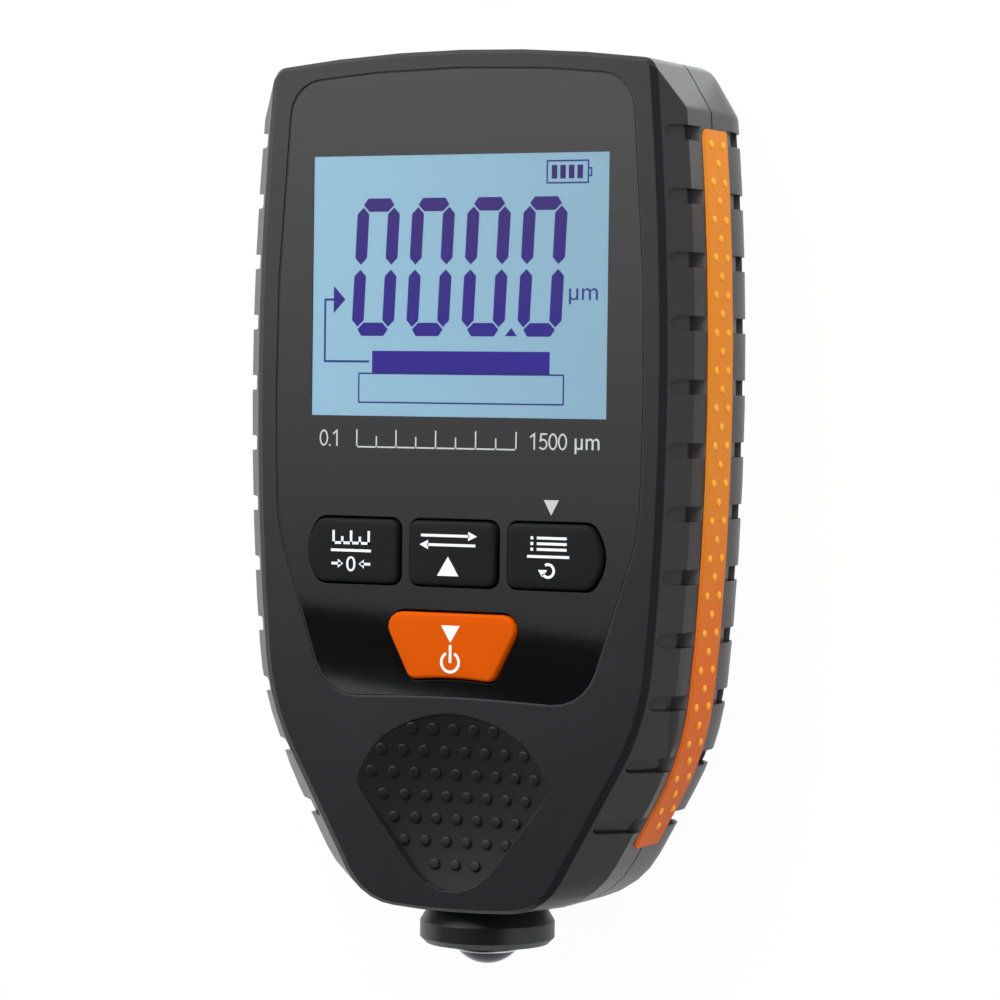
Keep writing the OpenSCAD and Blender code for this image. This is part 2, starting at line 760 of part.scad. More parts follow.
module rear_shell() {
    color("#29282a")
        difference() {
            union() {
                difference() {
                    case_form(0);
                    slab(parting_h, z_front + cut);
                    case_hollow();
                }
                intersection() {
                    case_form(0);
                    union() {
                        box_between(-bay_hw - bay_wall, bay_hw + bay_wall, y_bay_bot - bay_wall,
                            y_top, hair, z_bay + bay_wall);
                        box_between(-rail_hw, rail_hw, y_cover - rail_w, y_top, hair, cover_t + rail_t);
                        for (p = pillars)
                            translate([p.x, p.y, hair])
                                cylinder(d = pillar_d, h = parting_h - hair);
                        box_between(-spring_d / 2 - stop_rim, spring_d / 2 + stop_rim, y_stop,
                            y_stop + stop_t, hair, z_probe + spring_d / 2 + loose);
                    }
                }
            }
            box_between(-bay_hw, bay_hw, y_bay_bot, y_bay_top, cover_t, z_bay);
            cover_form(cover_gap, cut);
            slot_cuts();
            strip_cuts();
            for (p = pillars) {
                translate([p.x, p.y, -cut])
                    cylinder(d = case_head_d + loose, h = case_head_z + case_head_h + cut);
                translate([p.x, p.y, 0])
                    cylinder(d = case_screw_d + loose, h = parting_h + cut);
            }
            probe_well();
            rod(lead_d + 2 * loose, y_stop - cut, y_stop + stop_t + cut);
        }
}

module battery_cover() {
    rib_count = 5;
    rib_w = 1.2;
    rib_depth = 0.6;
    rib_up = 6;
    color("#29282a")
        difference() {
            intersection() {
                case_form(0);
                cover_form(0, 0);
            }
            for (i = [0:rib_count - 1])
                let(y = y_cover + rib_up + 2 * rib_w * i)
                    box_between(-cover_w / 3, cover_w / 3, y, y + rib_w, -cut, rib_depth);
        }
}

module grip(side) {
    soft = 0.5;
    outside = outline(-strip_proud, -strip_proud, -strip_proud);
    edge = outline(0, 0, 0);
    color("#ef7d1a")
        intersection() {
            difference() {
                loft([
                    [strip_low, edge],
                    [strip_low + soft, outside],
                    [strip_high - soft, outside],
                    [strip_high, edge]]);
                strip_core();
            }
            strip_span();
            box_between(min(side, 0) * body_w, max(side, 0) * body_w, y_strip_bot, y_strip_top,
                strip_low, strip_high);
        }
}
module grip_left() grip(-1);
module grip_right() grip(1);

module window_panel() {
    color("#17181a")
        difference() {
            translate([0, 0, z_seat])
                linear_extrude(panel_t)
                    polygon(panel_outline(0));
            key_holes(z_seat - cut, z_panel + cut, key_gap);
        }
}

module lcd_glass() {
    color("#a9cbe4")
        glass_space(0, z_glass, z_glass_top);
}

module lcd_frame() {
    color("#e8e8e4")
        difference() {
            glass_space(frame_wall, z_board, z_wall - hair);
            glass_space(2 * hair, z_glass, z_wall + cut);
            glass_space(-frame_lip, z_board - cut, z_glass + cut);
        }
}

zebra_w = 1.6;
zebra_short = 1;
y_zebra = y_glass_bot + frame_lip;
module zebra_strip() {
    color("#3a3a3c")
        box_between(-screen_w / 2 + zebra_short, screen_w / 2 - zebra_short, y_zebra + hair,
            y_zebra + zebra_w, z_board, z_glass);
}

led_l = 1.6;
led_w = 4;
guide_hw = glass_w / 2 - frame_lip - hair - led_l;
module light_guide() {
    color("#f4f6f8")
        box_between(-guide_hw, guide_hw, y_zebra + zebra_w + loose, y_glass_top - frame_lip - hair,
            z_glass - guide_t, z_glass);
}

module backlight_leds() {
    color("#f3efd2")
        for (x = [-guide_hw - led_l + hair, guide_hw])
            translate([x, (y_screen_top + y_screen_bot - led_w) / 2, z_board])
                cube([led_l - hair, led_w, z_glass - z_board - hair]);
}

module main_board() {
    edge = 0.5;
    lower = y_at(board_end_down);
    upper = min(y_glass_top + frame_wall + loose, top_pillar.y - pillar_d / 2 - loose);
    color("#2f6b3a")
        difference() {
            intersection() {
                translate([0, 0, z_back_of_board])
                    linear_extrude(board_t)
                        polygon(outline(side_wall + edge, end_wall + edge, foot_wall + edge));
                box_between(-body_w, body_w, lower, upper, z_back_of_board - cut, z_board + cut);
            }
            for (p = posts)
                translate([p.x, p.y, z_back_of_board - cut])
                    cylinder(d = board_screw_d + loose, h = board_t + 2 * cut);
        }
}

// Components on the back of the board
chip_t = 1.4;
controller_w = 10;
amplifier_size = [4, 5];
amplifier_at = [-15, -4];
crystal_size = [3.2, 5];
crystal_x = 12;
module chip(x, y, w, l) {
    box_between(x - w / 2, x + w / 2, y - l / 2, y + l / 2, z_back_of_board - chip_t, z_back_of_board);
}
module microcontroller() {
    color("#1d1d1f")
        chip(0, y_key_row, controller_w, controller_w);
}
module signal_amplifier() {
    color("#1d1d1f")
        chip(amplifier_at.x, y_key_row + amplifier_at.y, amplifier_size.x, amplifier_size.y);
}
module quartz_crystal() {
    color("#c9ccd0")
        chip(crystal_x, y_key_row, crystal_size.x, crystal_size.y);
}

connector_l = 4;
connector_w = 7;
connector_wall = 1;
lead_grip = 2;
y_connector = y_at(board_end_down) + connector_wall;
module probe_connector() {
    color("#efe9d8")
        difference() {
            box_between(-connector_w / 2, connector_w / 2, y_connector, y_connector + connector_l,
                z_probe - lead_d / 2 - connector_wall, z_back_of_board);
            rod(lead_d + 2 * hair, y_connector - cut, y_connector + lead_grip);
        }
}

module probe_leads() {
    color("#9a2f2f")
        rod(lead_d, y_coil_top + probe_travel + loose, y_connector + lead_grip - hair);
}

// Key cap with a soft upper edge and two tabs that catch under the front wall
cap_insets = [0, 0.2, 0.65];
cap_drops = [0.7, 0.25];
tab_t = 0.6;
tab_w = 6;
tab_lap = 0.9;
tab_gap = 0.2;
z_key_foot = z_wall - tab_t - tab_gap;
module key_cap(rings, place) {
    tab_reach = key_h / 2 + tab_lap;
    top = z_front + key_proud;
    loft([
        [z_key_foot, rings[0]],
        [top - cap_drops[0], rings[0]],
        [top - cap_drops[1], rings[1]],
        [top, rings[2]]]);
    box_between(place.x - tab_w / 2, place.x + tab_w / 2, place.y - tab_reach, place.y + tab_reach,
        z_key_foot, z_key_foot + tab_t);
}
module key_zero() {
    color("#1f1f21")
        key_cap([for (inset = cap_insets) outer_key(-1, inset)], key_places[0]);
}
module key_units() {
    color("#1f1f21")
        key_cap([for (inset = cap_insets) middle_key(inset)], key_places[1]);
}
module key_mode() {
    color("#1f1f21")
        key_cap([for (inset = cap_insets) outer_key(1, inset)], key_places[2]);
}
module key_power() {
    color("#ee6a12")
        key_cap([for (inset = cap_insets) power_key(inset)], key_places[3]);
}

// Tact switches stand on the board, and their plungers carry the keys
switch_w = 6;
switch_t = 3.4;
plunger_d = 3.4;
switch_floor = 0.6;
plunger_gap = 0.2;
module tact_switch(place) {
    color("#2a2a2c")
        difference() {
            box_between(place.x - switch_w / 2, place.x + switch_w / 2, place.y - switch_w / 2,
                place.y + switch_w / 2, z_board, z_board + switch_t);
            translate([place.x, place.y, z_board + switch_floor])
                cylinder(d = plunger_d + 2 * plunger_gap, h = switch_t);
        }
}
module plunger(place) {
    low = z_board + switch_floor + key_travel + plunger_gap;
    color("#e9e6df")
        translate([place.x, place.y, low])
            cylinder(d = plunger_d, h = z_key_foot - low);
}
module switch_zero() tact_switch(key_places[0]);
module switch_units() tact_switch(key_places[1]);
module switch_mode() tact_switch(key_places[2]);
module switch_power() tact_switch(key_places[3]);
module plunger_zero() plunger(key_places[0]);
module plunger_units() plunger(key_places[1]);
module plunger_mode() plunger(key_places[2]);
module plunger_power() plunger(key_places[3]);

// Screw with a cross recess, head down, standing on the under side of its head
module screw(d, head_d, head_h, z_head, z_end) {
    cross_l = head_d * 0.64;
    cross_w = head_d * 0.14;
    difference() {
        union() {
            translate([0, 0, z_head])
                cylinder(d = head_d, h = head_h);
            translate([0, 0, z_head])
                cylinder(d = d, h = z_end - z_head);
        }
        for (turn = [0, 90])
            rotate([0, 0, turn])
                translate([-cross_l / 2, -cross_w / 2, z_head - cut])
                    cube([cross_l, cross_w, head_h / 2 + cut]);
    }
}
module board_screws() {
    color("#b9bcc0")
        for (p = posts)
            translate([p.x, p.y, 0])
                screw(board_screw_d, board_head_d, board_head_h, z_back_of_board - board_head_h,
                    board_screw_end);
}
module case_screws() {
    color("#8f9296")
        for (p = pillars)
            translate([p.x, p.y, 0])
                screw(case_screw_d, case_head_d, case_head_h, case_head_z, case_screw_end);
}

// Two cells lie head to tail: each has its button on one end and its spring on the other
button_l = 0.8;
button_d = 3.8;
y_cells_bot = y_bay_bot + contact_t + hair;
y_cells_top = y_bay_top - contact_t - hair;
module cell(x, y, forward) {
    soft = 0.5;
    translate([x, y, z_cell])
        rotate([forward ? -90 : 90, 0, 0])
            rotate_extrude()
                polygon([[0, 0], [cell_d / 2 - soft, 0], [cell_d / 2, soft],
                    [cell_d / 2, cell_l - button_l - soft], [cell_d / 2 - soft, cell_l - button_l],
                    [button_d / 2, cell_l - button_l], [button_d / 2, cell_l], [0, cell_l]]);
}
module battery_left() {
    color("#3c6e9e")
        cell(-cell_pitch / 2, y_cells_top - cell_l, true);
}
module battery_right() {
    color("#3c6e9e")
        cell(cell_pitch / 2, y_cells_bot + cell_l, false);
}
plate_edge = 0.5;
module contact_plate(x0, x1, y) {
    reach = cell_d / 2 - plate_edge;
    box_between(x0, x1, y, y + contact_t, z_cell - reach, z_cell + reach);
}
module battery_link() {
    color("#c9ccd0")
        contact_plate(-bay_hw + plate_edge, bay_hw - plate_edge, y_bay_bot + hair);
}
module battery_terminals() {
    color("#c9ccd0") {
        contact_plate(-bay_hw + plate_edge, -plate_edge, y_bay_top - contact_t - hair);
        contact_plate(plate_edge, bay_hw - plate_edge, y_bay_top - contact_t - hair);
    }
}
module battery_springs() {
    wire_d = 0.7;
    wide_d = 7;
    narrow_d = 4.4;
    turns = 3;
    steps = 12;
    coil = coil_path(spring_room - 3 * hair, wide_d, narrow_d, turns, wire_d, steps);
    color("#c9ccd0") {
        translate([-cell_pitch / 2, y_cells_bot + hair, z_cell])
            wire(coil, wire_d);
        translate([cell_pitch / 2, y_cells_top - hair, z_cell])
            rotate([0, 0, 180])
                wire(coil, wire_d);
    }
}

module probe_bush() {
    color("#b59a55")
        difference() {
            union() {
                rod(bush_d, y_bush, y_bush_top);
                rod(bush_flange_d, y_flange, y_flange + bush_flange_l);
            }
            rod(neck_d + 2 * bush_fit, y_bush - cut, y_bush_top + cut);
        }
}

module probe_sleeve() {
    neck = neck_d / 2;
    collar = collar_d / 2;
    bore = sleeve_bore / 2;
    groove = neck - clip_groove;
    color("#1c1d1e")
        turned([
            [bore, y_ring], [collar - collar_soft, y_ring], [collar, y_ring + collar_soft],
            [collar, y_collar], [cone_d / 2, y_cone], [neck, y_cone],
            [neck, y_clip], [groove, y_clip], [groove, y_clip + clip_l], [neck, y_clip + clip_l],
            [neck, y_neck_top], [lead_d / 2 + loose, y_neck_top],
            [lead_d / 2 + loose, y_coil_top + hair], [bore, y_coil_top + hair]]);
}

module probe_clip() {
    color("#a9adb1")
        difference() {
            rod(neck_d + 2 * clip_rim, y_clip, y_clip + clip_l);
            rod(neck_d - 2 * clip_groove, y_clip - cut, y_clip + clip_l + cut);
            translate([-clip_mouth / 2, y_clip - cut, z_probe - neck_d])
                cube([clip_mouth, clip_l + 2 * cut, neck_d]);
        }
}

// Steel measuring tip: a thin flange and a domed face
tip_ring_t = 0.5;
tip_ring_rim = 0.3;
module probe_tip() {
    dome_h = y_ring - tip_ring_t - y_tip;
    dome_d = tip_d - 2 * tip_ring_rim;
    dome_r = (dome_h ^ 2 + (dome_d / 2) ^ 2) / (2 * dome_h);
    color("#d4d7da")
        union() {
            rod(tip_d, y_ring - tip_ring_t, y_ring);
            intersection() {
                rod(dome_d, y_tip - cut, y_ring);
                translate([0, y_tip + dome_r, z_probe])
                    sphere(r = dome_r);
            }
        }
}

module probe_core() {
    color("#8b8f94")
        rod(core_d, y_ring, y_coil_top - hair);
}

module probe_bobbin() {
    color("#e8e2d0")
        difference() {
            union() {
                rod(bobbin_d, y_ring, y_ring + bobbin_cheek);
                rod(core_d + 2 * bobbin_wall, y_ring, y_coil_top - hair);
                rod(bobbin_d, y_coil_top - hair - bobbin_cheek, y_coil_top - hair);
            }
            rod(core_d + 2 * hair, y_ring - cut, y_coil_top + cut);
        }
}

module probe_coil() {
    color("#b5642e")
        difference() {
            rod(coil_d, y_ring + bobbin_cheek, y_coil_top - hair - bobbin_cheek);
            rod(core_d + 2 * bobbin_wall + 2 * hair, y_ring, y_coil_top);
        }
}

module probe_spring() {
    color("#c3c6ca")
        translate([0, y_neck_top + hair, z_probe])
            wire(coil_path(spring_l - 2 * hair, spring_d, spring_d, spring_turns, spring_wire, spring_steps),
                spring_wire);
}

front_shell();
rear_shell();
battery_cover();
grip_left();
grip_right();
window_panel();
lcd_glass();
lcd_frame();
light_guide();
backlight_leds();
zebra_strip();
main_board();
microcontroller();
signal_amplifier();
quartz_crystal();
probe_connector();
probe_leads();
key_zero();
key_units();
key_mode();
key_power();
switch_zero();
switch_units();
switch_mode();
switch_power();
plunger_zero();
plunger_units();
plunger_mode();
plunger_power();
board_screws();
case_screws();
battery_left();
battery_right();
battery_link();
battery_terminals();
battery_springs();
probe_bush();
probe_sleeve();
probe_clip();
probe_tip();
probe_core();
probe_bobbin();
probe_coil();
probe_spring();
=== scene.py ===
"""Pocket coating thickness gauge: its finish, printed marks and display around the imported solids."""
import json
import math

import bmesh
import bpy
from mathutils import Matrix, Vector
from mathutils.bvhtree import BVHTree
from mathutils.kdtree import KDTree


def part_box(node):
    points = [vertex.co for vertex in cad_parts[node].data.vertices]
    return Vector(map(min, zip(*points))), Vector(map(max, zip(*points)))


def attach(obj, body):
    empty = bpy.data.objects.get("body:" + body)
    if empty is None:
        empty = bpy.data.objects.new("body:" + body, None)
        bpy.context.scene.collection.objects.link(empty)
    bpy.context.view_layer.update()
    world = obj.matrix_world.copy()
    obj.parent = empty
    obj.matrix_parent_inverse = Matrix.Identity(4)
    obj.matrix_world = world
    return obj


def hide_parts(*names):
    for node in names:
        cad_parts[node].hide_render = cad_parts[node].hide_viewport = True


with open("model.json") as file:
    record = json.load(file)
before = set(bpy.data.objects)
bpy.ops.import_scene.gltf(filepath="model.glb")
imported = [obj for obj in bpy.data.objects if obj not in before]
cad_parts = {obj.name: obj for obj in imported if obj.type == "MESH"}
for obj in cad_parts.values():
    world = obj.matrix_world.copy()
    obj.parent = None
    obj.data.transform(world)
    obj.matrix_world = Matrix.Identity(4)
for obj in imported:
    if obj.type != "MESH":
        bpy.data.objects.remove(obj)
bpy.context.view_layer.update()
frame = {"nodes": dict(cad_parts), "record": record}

MM = 0.001
nodes = frame["nodes"]
record = frame["record"]


# Places taken from the solids, in millimetres
def node_box(node):
    low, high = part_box(node)
    return low / MM, high / MM


_, panel_high = node_box("window_panel")
glass_low, glass_high = node_box("lcd_glass")
GLASS_BORDER = 1.0
GLASS_LEDGE = 3.0
SCREEN_LEFT = glass_low.x + GLASS_BORDER
SCREEN_RIGHT = glass_high.x - GLASS_BORDER
SCREEN_TOP = glass_high.y - GLASS_BORDER
SCREEN_FOOT = glass_low.y + GLASS_LEDGE
# How far a unit normal has to reach along an axis to count as facing that way
FACING = 0.9


# Camera at the photograph's angle
CAMERA_TURN = math.radians(26.5)
CAMERA_RISE = math.radians(1.62)
CAMERA_ROLL = math.radians(0.70)
CAMERA_DISTANCE = 508.5
CAMERA_AIM = Vector((6.81, 1.9, 26.0))
CAMERA_LENS = 138.0
CAMERA_SENSOR = 36.0
CAMERA_NEAREST = 10.0


def add_camera():
    back = Vector((
        math.sin(CAMERA_TURN) * math.cos(CAMERA_RISE),
        math.sin(CAMERA_RISE),
        math.cos(CAMERA_TURN) * math.cos(CAMERA_RISE),
    ))
    level = Vector((0, 1, 0)).cross(back).normalized()
    upright = back.cross(level)
    right = level * math.cos(CAMERA_ROLL) + upright * math.sin(CAMERA_ROLL)
    up = upright * math.cos(CAMERA_ROLL) - level * math.sin(CAMERA_ROLL)
    data = bpy.data.cameras.new("camera")
    data.sensor_width = CAMERA_SENSOR
    data.lens = CAMERA_LENS
    data.clip_start = CAMERA_NEAREST * MM
    camera = bpy.data.objects.new("camera", data)
    bpy.context.scene.collection.objects.link(camera)
    turn = Matrix((right, up, back)).transposed().to_4x4()
    place = (CAMERA_AIM + back * CAMERA_DISTANCE) * MM
    camera.matrix_world = Matrix.Translation(place) @ turn
    bpy.context.scene.camera = camera


add_camera()


# Material helpers
def hex_colour(text):
    """Linear colour of an sRGB hex value."""
    parts = [int(text[i:i + 2], 16) / 255 for i in (0, 2, 4)]
    linear = [c / 12.92 if c <= 0.04045 else ((c + 0.055) / 1.055) ** 2.4 for c in parts]
    return (*linear, 1.0)


def per_mm(size):
    """Texture scale at which one repeat measures size millimetres."""
    return 1.0 / (size * MM)


def add_node(tree, kind, inputs=None, **settings):
    """Adds a node, sets its properties, and sets or links its inputs."""
    made = tree.nodes.new(kind)
    for name, value in settings.items():
        setattr(made, name, value)
    for name, value in (inputs or {}).items():
        if isinstance(value, bpy.types.NodeSocket):
            tree.links.new(value, made.inputs[name])
        else:
            made.inputs[name].default_value = value
    return made


def start_material(name, **sockets):
    """A material with a Principled shader whose named sockets are set."""
    material = bpy.data.materials.new(name)
    material.use_nodes = True
    tree = material.node_tree
    shader = tree.nodes["Principled BSDF"]
    for socket, value in sockets.items():
        shader.inputs[socket.replace("_", " ")].default_value = value
    return material, tree, shader


# Sockets of the Mix node when it mixes colours
MIX_FIRST, MIX_SECOND, MIX_RESULT = 6, 7, 2


def tone_between(tree, share, first, second):
    """A colour that goes from the first hex value to the second as share goes from 0 to 1."""
    mix = add_node(tree, "ShaderNodeMix", {
        "Factor": share, MIX_FIRST: hex_colour(first), MIX_SECOND: hex_colour(second)}, data_type="RGBA")
    return mix.outputs[MIX_RESULT]


def combined(tree, operation, first, second):
    """The result of one operation on two values."""
    return add_node(tree, "ShaderNodeMath", {0: first, 1: second}, operation=operation).outputs[0]


SLOW_GRAINS = 40
EDGE_SAMPLES = 6


def moulded(name, dark, light, grain, relief, roughness, spread, edge=0.0, fade=None, **sockets):
    """A moulded or cast finish: fine grain of that size and relief in mm, with slow changes of tone.

    fade gives the lengths along Y, in mm, between which the dark tone gives way to the light one."""
    material, tree, shader = start_material(name, **sockets)
    where = add_node(tree, "ShaderNodeTexCoord").outputs["Object"]
    fine = add_node(tree, "ShaderNodeTexNoise", {
        "Vector": where, "Scale": per_mm(grain), "Detail": 3.0})
    if fade:
        axes = add_node(tree, "ShaderNodeSeparateXYZ", {"Vector": where})
        along = add_node(tree, "ShaderNodeMapRange", {
            "Value": axes.outputs["Y"], "From Min": fade[0] * MM, "From Max": fade[1] * MM})
        share = along.outputs["Result"]
    else:
        slow = add_node(tree, "ShaderNodeTexNoise", {
            "Vector": where, "Scale": per_mm(grain * SLOW_GRAINS), "Detail": 2.0})
        share = slow.outputs["Fac"]
    tree.links.new(tone_between(tree, share, dark, light), shader.inputs["Base Color"])
    rough = add_node(tree, "ShaderNodeMapRange", {
        "Value": fine.outputs["Fac"], "To Min": roughness - spread, "To Max": roughness + spread})
    tree.links.new(rough.outputs["Result"], shader.inputs["Roughness"])
    bump_inputs = {"Height": fine.outputs["Fac"], "Distance": relief * MM, "Strength": 1.0}
    if edge:
        soft = add_node(tree, "ShaderNodeBevel", {"Radius": edge * MM}, samples=EDGE_SAMPLES)
        bump_inputs["Normal"] = soft.outputs["Normal"]
    bump = add_node(tree, "ShaderNodeBump", bump_inputs)
    tree.links.new(bump.outputs["Normal"], shader.inputs["Normal"])
    return material


# ABS moulded in a spark-eroded tool: a fine even matt grain, drawn a little coarse so that it shows
case_abs = moulded(
    "abs_spark_eroded_black", "19191a", "201f21", 0.30, 0.008, 0.31, 0.04, edge=0.18, IOR=1.45)
# The same plastic in the thumb rest, etched duller there
thumb_abs = moulded("abs_etched_black", "121213", "171718", 0.30, 0.008, 0.46, 0.04, IOR=1.4)
# The same plastic at the ends of the flank slots, in a paler grey: painted light standing in for the fill
# light that reaches into the slots
slot_end_painted_light = moulded("abs_grey_painted_fill_light", "7c7b7c", "848384", 0.30, 0.008, 0.60, 0.04)
# Soft thermoplastic rubber moulded onto the flanks: satin orange, a little redder towards the probe
grip_rubber = moulded(
    "tpe_moulded_orange", "d6620a", "d87f12", 0.45, 0.010, 0.50, 0.06, edge=0.20, fade=(-22, 6), IOR=1.25)
# The grip's dots are a paler, yellower orange, a painted highlight for the light on their raised tops, and
# a little smoother
grip_dots_painted_highlight = moulded("tpe_dots_painted_highlight", "f6a01c", "fbae2a", 0.45, 0.004, 0.40, 0.05, IOR=1.4)
# Silicone keys with a smooth satin skin
key_rubber = moulded("silicone_moulded_black", "161617", "1b1b1c", 0.35, 0.004, 0.52, 0.05, IOR=1.2)
power_rubber = moulded("silicone_moulded_orange", "c84d00", "ce5300", 0.35, 0.004, 0.52, 0.05, IOR=1.1)
# Acetal turned for the probe collar: satin black with faint turning
collar_acetal = moulded("acetal_turned_black", "121313", "171818", 0.25, 0.004, 0.36, 0.05, edge=0.15)
# Plastics, rubber and resin inside the case: frame, lamps, contact strip, chips, lead, cells and board
white_plastic = moulded("abs_natural_white", "dcdad2", "e8e6df", 0.40, 0.006, 0.45, 0.05)
led_body = moulded("led_resin_phosphor", "efe6b8", "f6efcf", 0.30, 0.003, 0.35, 0.05)
contact_rubber = moulded("silicone_contact_strip", "343436", "3e3e40", 0.20, 0.004, 0.55, 0.05)
chip_resin = moulded("epoxy_moulded_black", "1a1a1b", "222223", 0.20, 0.005, 0.55, 0.05)
lead_sheath = moulded("pvc_lead_red", "8e2626", "9e3030", 0.40, 0.004, 0.45, 0.05)
cell_jacket = moulded("pvc_shrink_sleeve_blue", "2f5f8e", "3a6ea0", 0.60, 0.003, 0.25, 0.04)
board_mask = moulded("solder_mask_green", "1f5a30", "2a6a3a", 0.50, 0.004, 0.32, 0.05)
# Metals: crystal can, screws and springs, core, coil, measuring tip and the ring round it
nickel_can = moulded("nickel_plated_can", "b9bbbd", "c9cbcd", 0.20, 0.002, 0.28, 0.05, Metallic=1.0)
plated_steel = moulded("zinc_plated_steel", "a9abae", "bcbec1", 0.25, 0.003, 0.30, 0.06, Metallic=1.0)
core_iron = moulded("soft_iron_turned", "77797c", "87898c", 0.20, 0.003, 0.38, 0.05, Metallic=1.0)
coil_copper = moulded("copper_enamelled", "8e4a1e", "a85a28", 0.15, 0.010, 0.30, 0.05, Metallic=1.0)
tip_chrome = moulded("steel_hard_chrome", "323436", "3a3c3e", 0.30, 0.001, 0.12, 0.03, Metallic=1.0)
ring_steel = moulded("steel_ground_ring", "d8dadc", "e2e4e6", 0.30, 0.001, 0.45, 0.03, Metallic=1.0)
# Acrylic printed black on its back: a deep gloss with a faint ripple of the cast sheet
panel_acrylic = moulded("acrylic_gloss_black", "0b0b0c", "0e0e0f", 2.0, 0.0004, 0.045, 0.015, edge=0.15)
# Adhesive that fills most of the joint round the panel
joint_bead = moulded("silicone_bead_grey", "363638", "3c3c3e", 0.40, 0.003, 0.50, 0.05)
# Clear acrylic behind the display, seen as a milky sheet
guide_acrylic = moulded("acrylic_light_guide", "e8ecef", "f2f5f7", 0.80, 0.001, 0.15, 0.04)
# Screen inks: matt white on keys, a greyer print on the panel
ink_white = moulded("screen_ink_white", "e4e4e4", "f0f0f0", 0.15, 0.003, 0.60, 0.05)
ink_grey = moulded("screen_ink_grey", "b4b4b4", "c0c0c0", 0.15, 0.003, 0.60, 0.05)
ink_warm = moulded("screen_ink_on_orange", "efe2da", "f8efe9", 0.15, 0.003, 0.60, 0.05)
# Switched display segments: dark violet-blue polariser, a little redder at the top of the screen
segment_ink = moulded(
    "display_segment_violet", "1f0b80", "2a0d66", 6.0, 0.0, 0.50, 0.02, fade=(22, 44), IOR=1.2)
segment_line = moulded("display_line_blue", "1c2a78", "243080", 6.0, 0.0, 0.50, 0.02, IOR=1.2)


WINDOW_RIPPLE = 3.0
DISPLAY_GLOW = 0.92


def clear_window():
    """Clear acrylic over the display: polished, with a slight gloss."""
    material, tree, shader = start_material(
        "acrylic_clear_window", Transmission_Weight=1.0, IOR=1.3, Roughness=0.02)
    where = add_node(tree, "ShaderNodeTexCoord").outputs["Object"]
    ripple = add_node(tree, "ShaderNodeTexNoise", {"Vector": where, "Scale": per_mm(WINDOW_RIPPLE)})
    tone = tone_between(tree, ripple.outputs["Fac"], "fbfcfc", "ffffff")
    tree.links.new(tone, shader.inputs["Base Color"])
    return material


def backlit_display():
    """Backlit twisted-nematic glass: a pale blue glow, a little duller away from its lamps on the left."""
    material, tree, shader = start_material("display_glass_backlit", Roughness=0.35)
    where = add_node(tree, "ShaderNodeTexCoord").outputs["Object"]
    axes = add_node(tree, "ShaderNodeSeparateXYZ", {"Vector": where})
    away = add_node(tree, "ShaderNodeMapRange", {
        "Value": axes.outputs["X"], "From Min": SCREEN_LEFT * MM, "From Max": SCREEN_RIGHT * MM})
    tone = tone_between(tree, away.outputs["Result"], "8cbcd5", "7faac1")
    tree.links.new(tone, shader.inputs["Emission Color"])
    shader.inputs["Emission Strength"].default_value = DISPLAY_GLOW
    shader.inputs["Base Color"].default_value = hex_colour("20282e")
    return material


window_clear = clear_window()
display_glass = backlit_display()

SLOT_MATERIALS = {
    "case_plastic": case_abs,
    "grip_rubber": grip_rubber,
    "panel_acrylic": panel_acrylic,
    "display_glass": display_glass,
    "white_plastic": white_plastic,
    "clear_acrylic": guide_acrylic,
    "led_body": led_body,
    "contact_rubber": contact_rubber,
    "circuit_board": board_mask,
    "chip_resin": chip_resin,
    "steel_can": nickel_can,
    "lead_sheath": lead_sheath,
    "key_rubber": key_rubber,
    "power_key_rubber": power_rubber,
    "plated_steel": plated_steel,
    "cell_jacket": cell_jacket,
    "collar_plastic": collar_acetal,
    "tip_steel": tip_chrome,
    "core_steel": core_iron,
    "coil_copper": coil_copper,
}
slot_of = {part["node"]: part["material_slot"] for part in record["subparts"]}
body_of = {node: body for body, members in record["behaviour"]["bodies"].items() for node in members}
for node, slot in slot_of.items():
    nodes[node].data.materials.clear()
    nodes[node].data.materials.append(SLOT_MATERIALS[slot])


# Mesh helpers
def add_piece(name, mesh, body, slot, *materials):
    """Links a mesh as a piece that rides on a body and takes the given materials; the slot is not used."""
    piece = bpy.data.objects.new(name, mesh)
    bpy.context.scene.collection.objects.link(piece)
    for material in materials:
        mesh.materials.append(material)
    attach(piece, body)
    return piece


def mesh_from(bm, name):
    mesh = bpy.data.meshes.new(name)
    bm.to_mesh(mesh)
    bm.free()
    return mesh


SMOOTH_ANGLE = math.radians(17)
STUD_ANGLE = math.radians(50)
WELD = 0.002
FLAT_ANGLE = math.radians(0.05)


def joined_copy(node):
    """The node's surface with its corners welded and its flat areas joined."""
    bm = bmesh.new()
    bm.from_mesh(nodes[node].data)
    bmesh.ops.remove_doubles(bm, verts=bm.verts, dist=WELD * MM)
    bmesh.ops.dissolve_limit(bm, angle_limit=FLAT_ANGLE, verts=bm.verts, edges=bm.edges)
    return bm


def smooth(mesh, angle=SMOOTH_ANGLE):
    for face in mesh.polygons:
        face.use_smooth = True
    mesh.set_sharp_from_angle(angle=angle)


EVEN_REACH = 7.0
EVEN_ANGLE = math.radians(3)
EVEN_AREA = 0.08


def evened_normals(mesh):
    """Face normals, with near faces that point almost the same way drawn together."""
    large = [f for f in mesh.polygons if f.area > EVEN_AREA * MM ** 2]
    tree = KDTree(len(large))
    for i, face in enumerate(large):
        tree.insert(face.center, i)
    tree.balance()
    normals = [f.normal.copy() for f in mesh.polygons]
    for face in large:
        near = (large[i] for _, i, _ in tree.find_range(face.center, EVEN_REACH * MM))
        alike = [f for f in near if f.normal.dot(face.normal) > math.cos(EVEN_ANGLE)]
        normals[face.index] = sum((f.normal * f.area for f in alike), Vector()).normalized()
    return normals


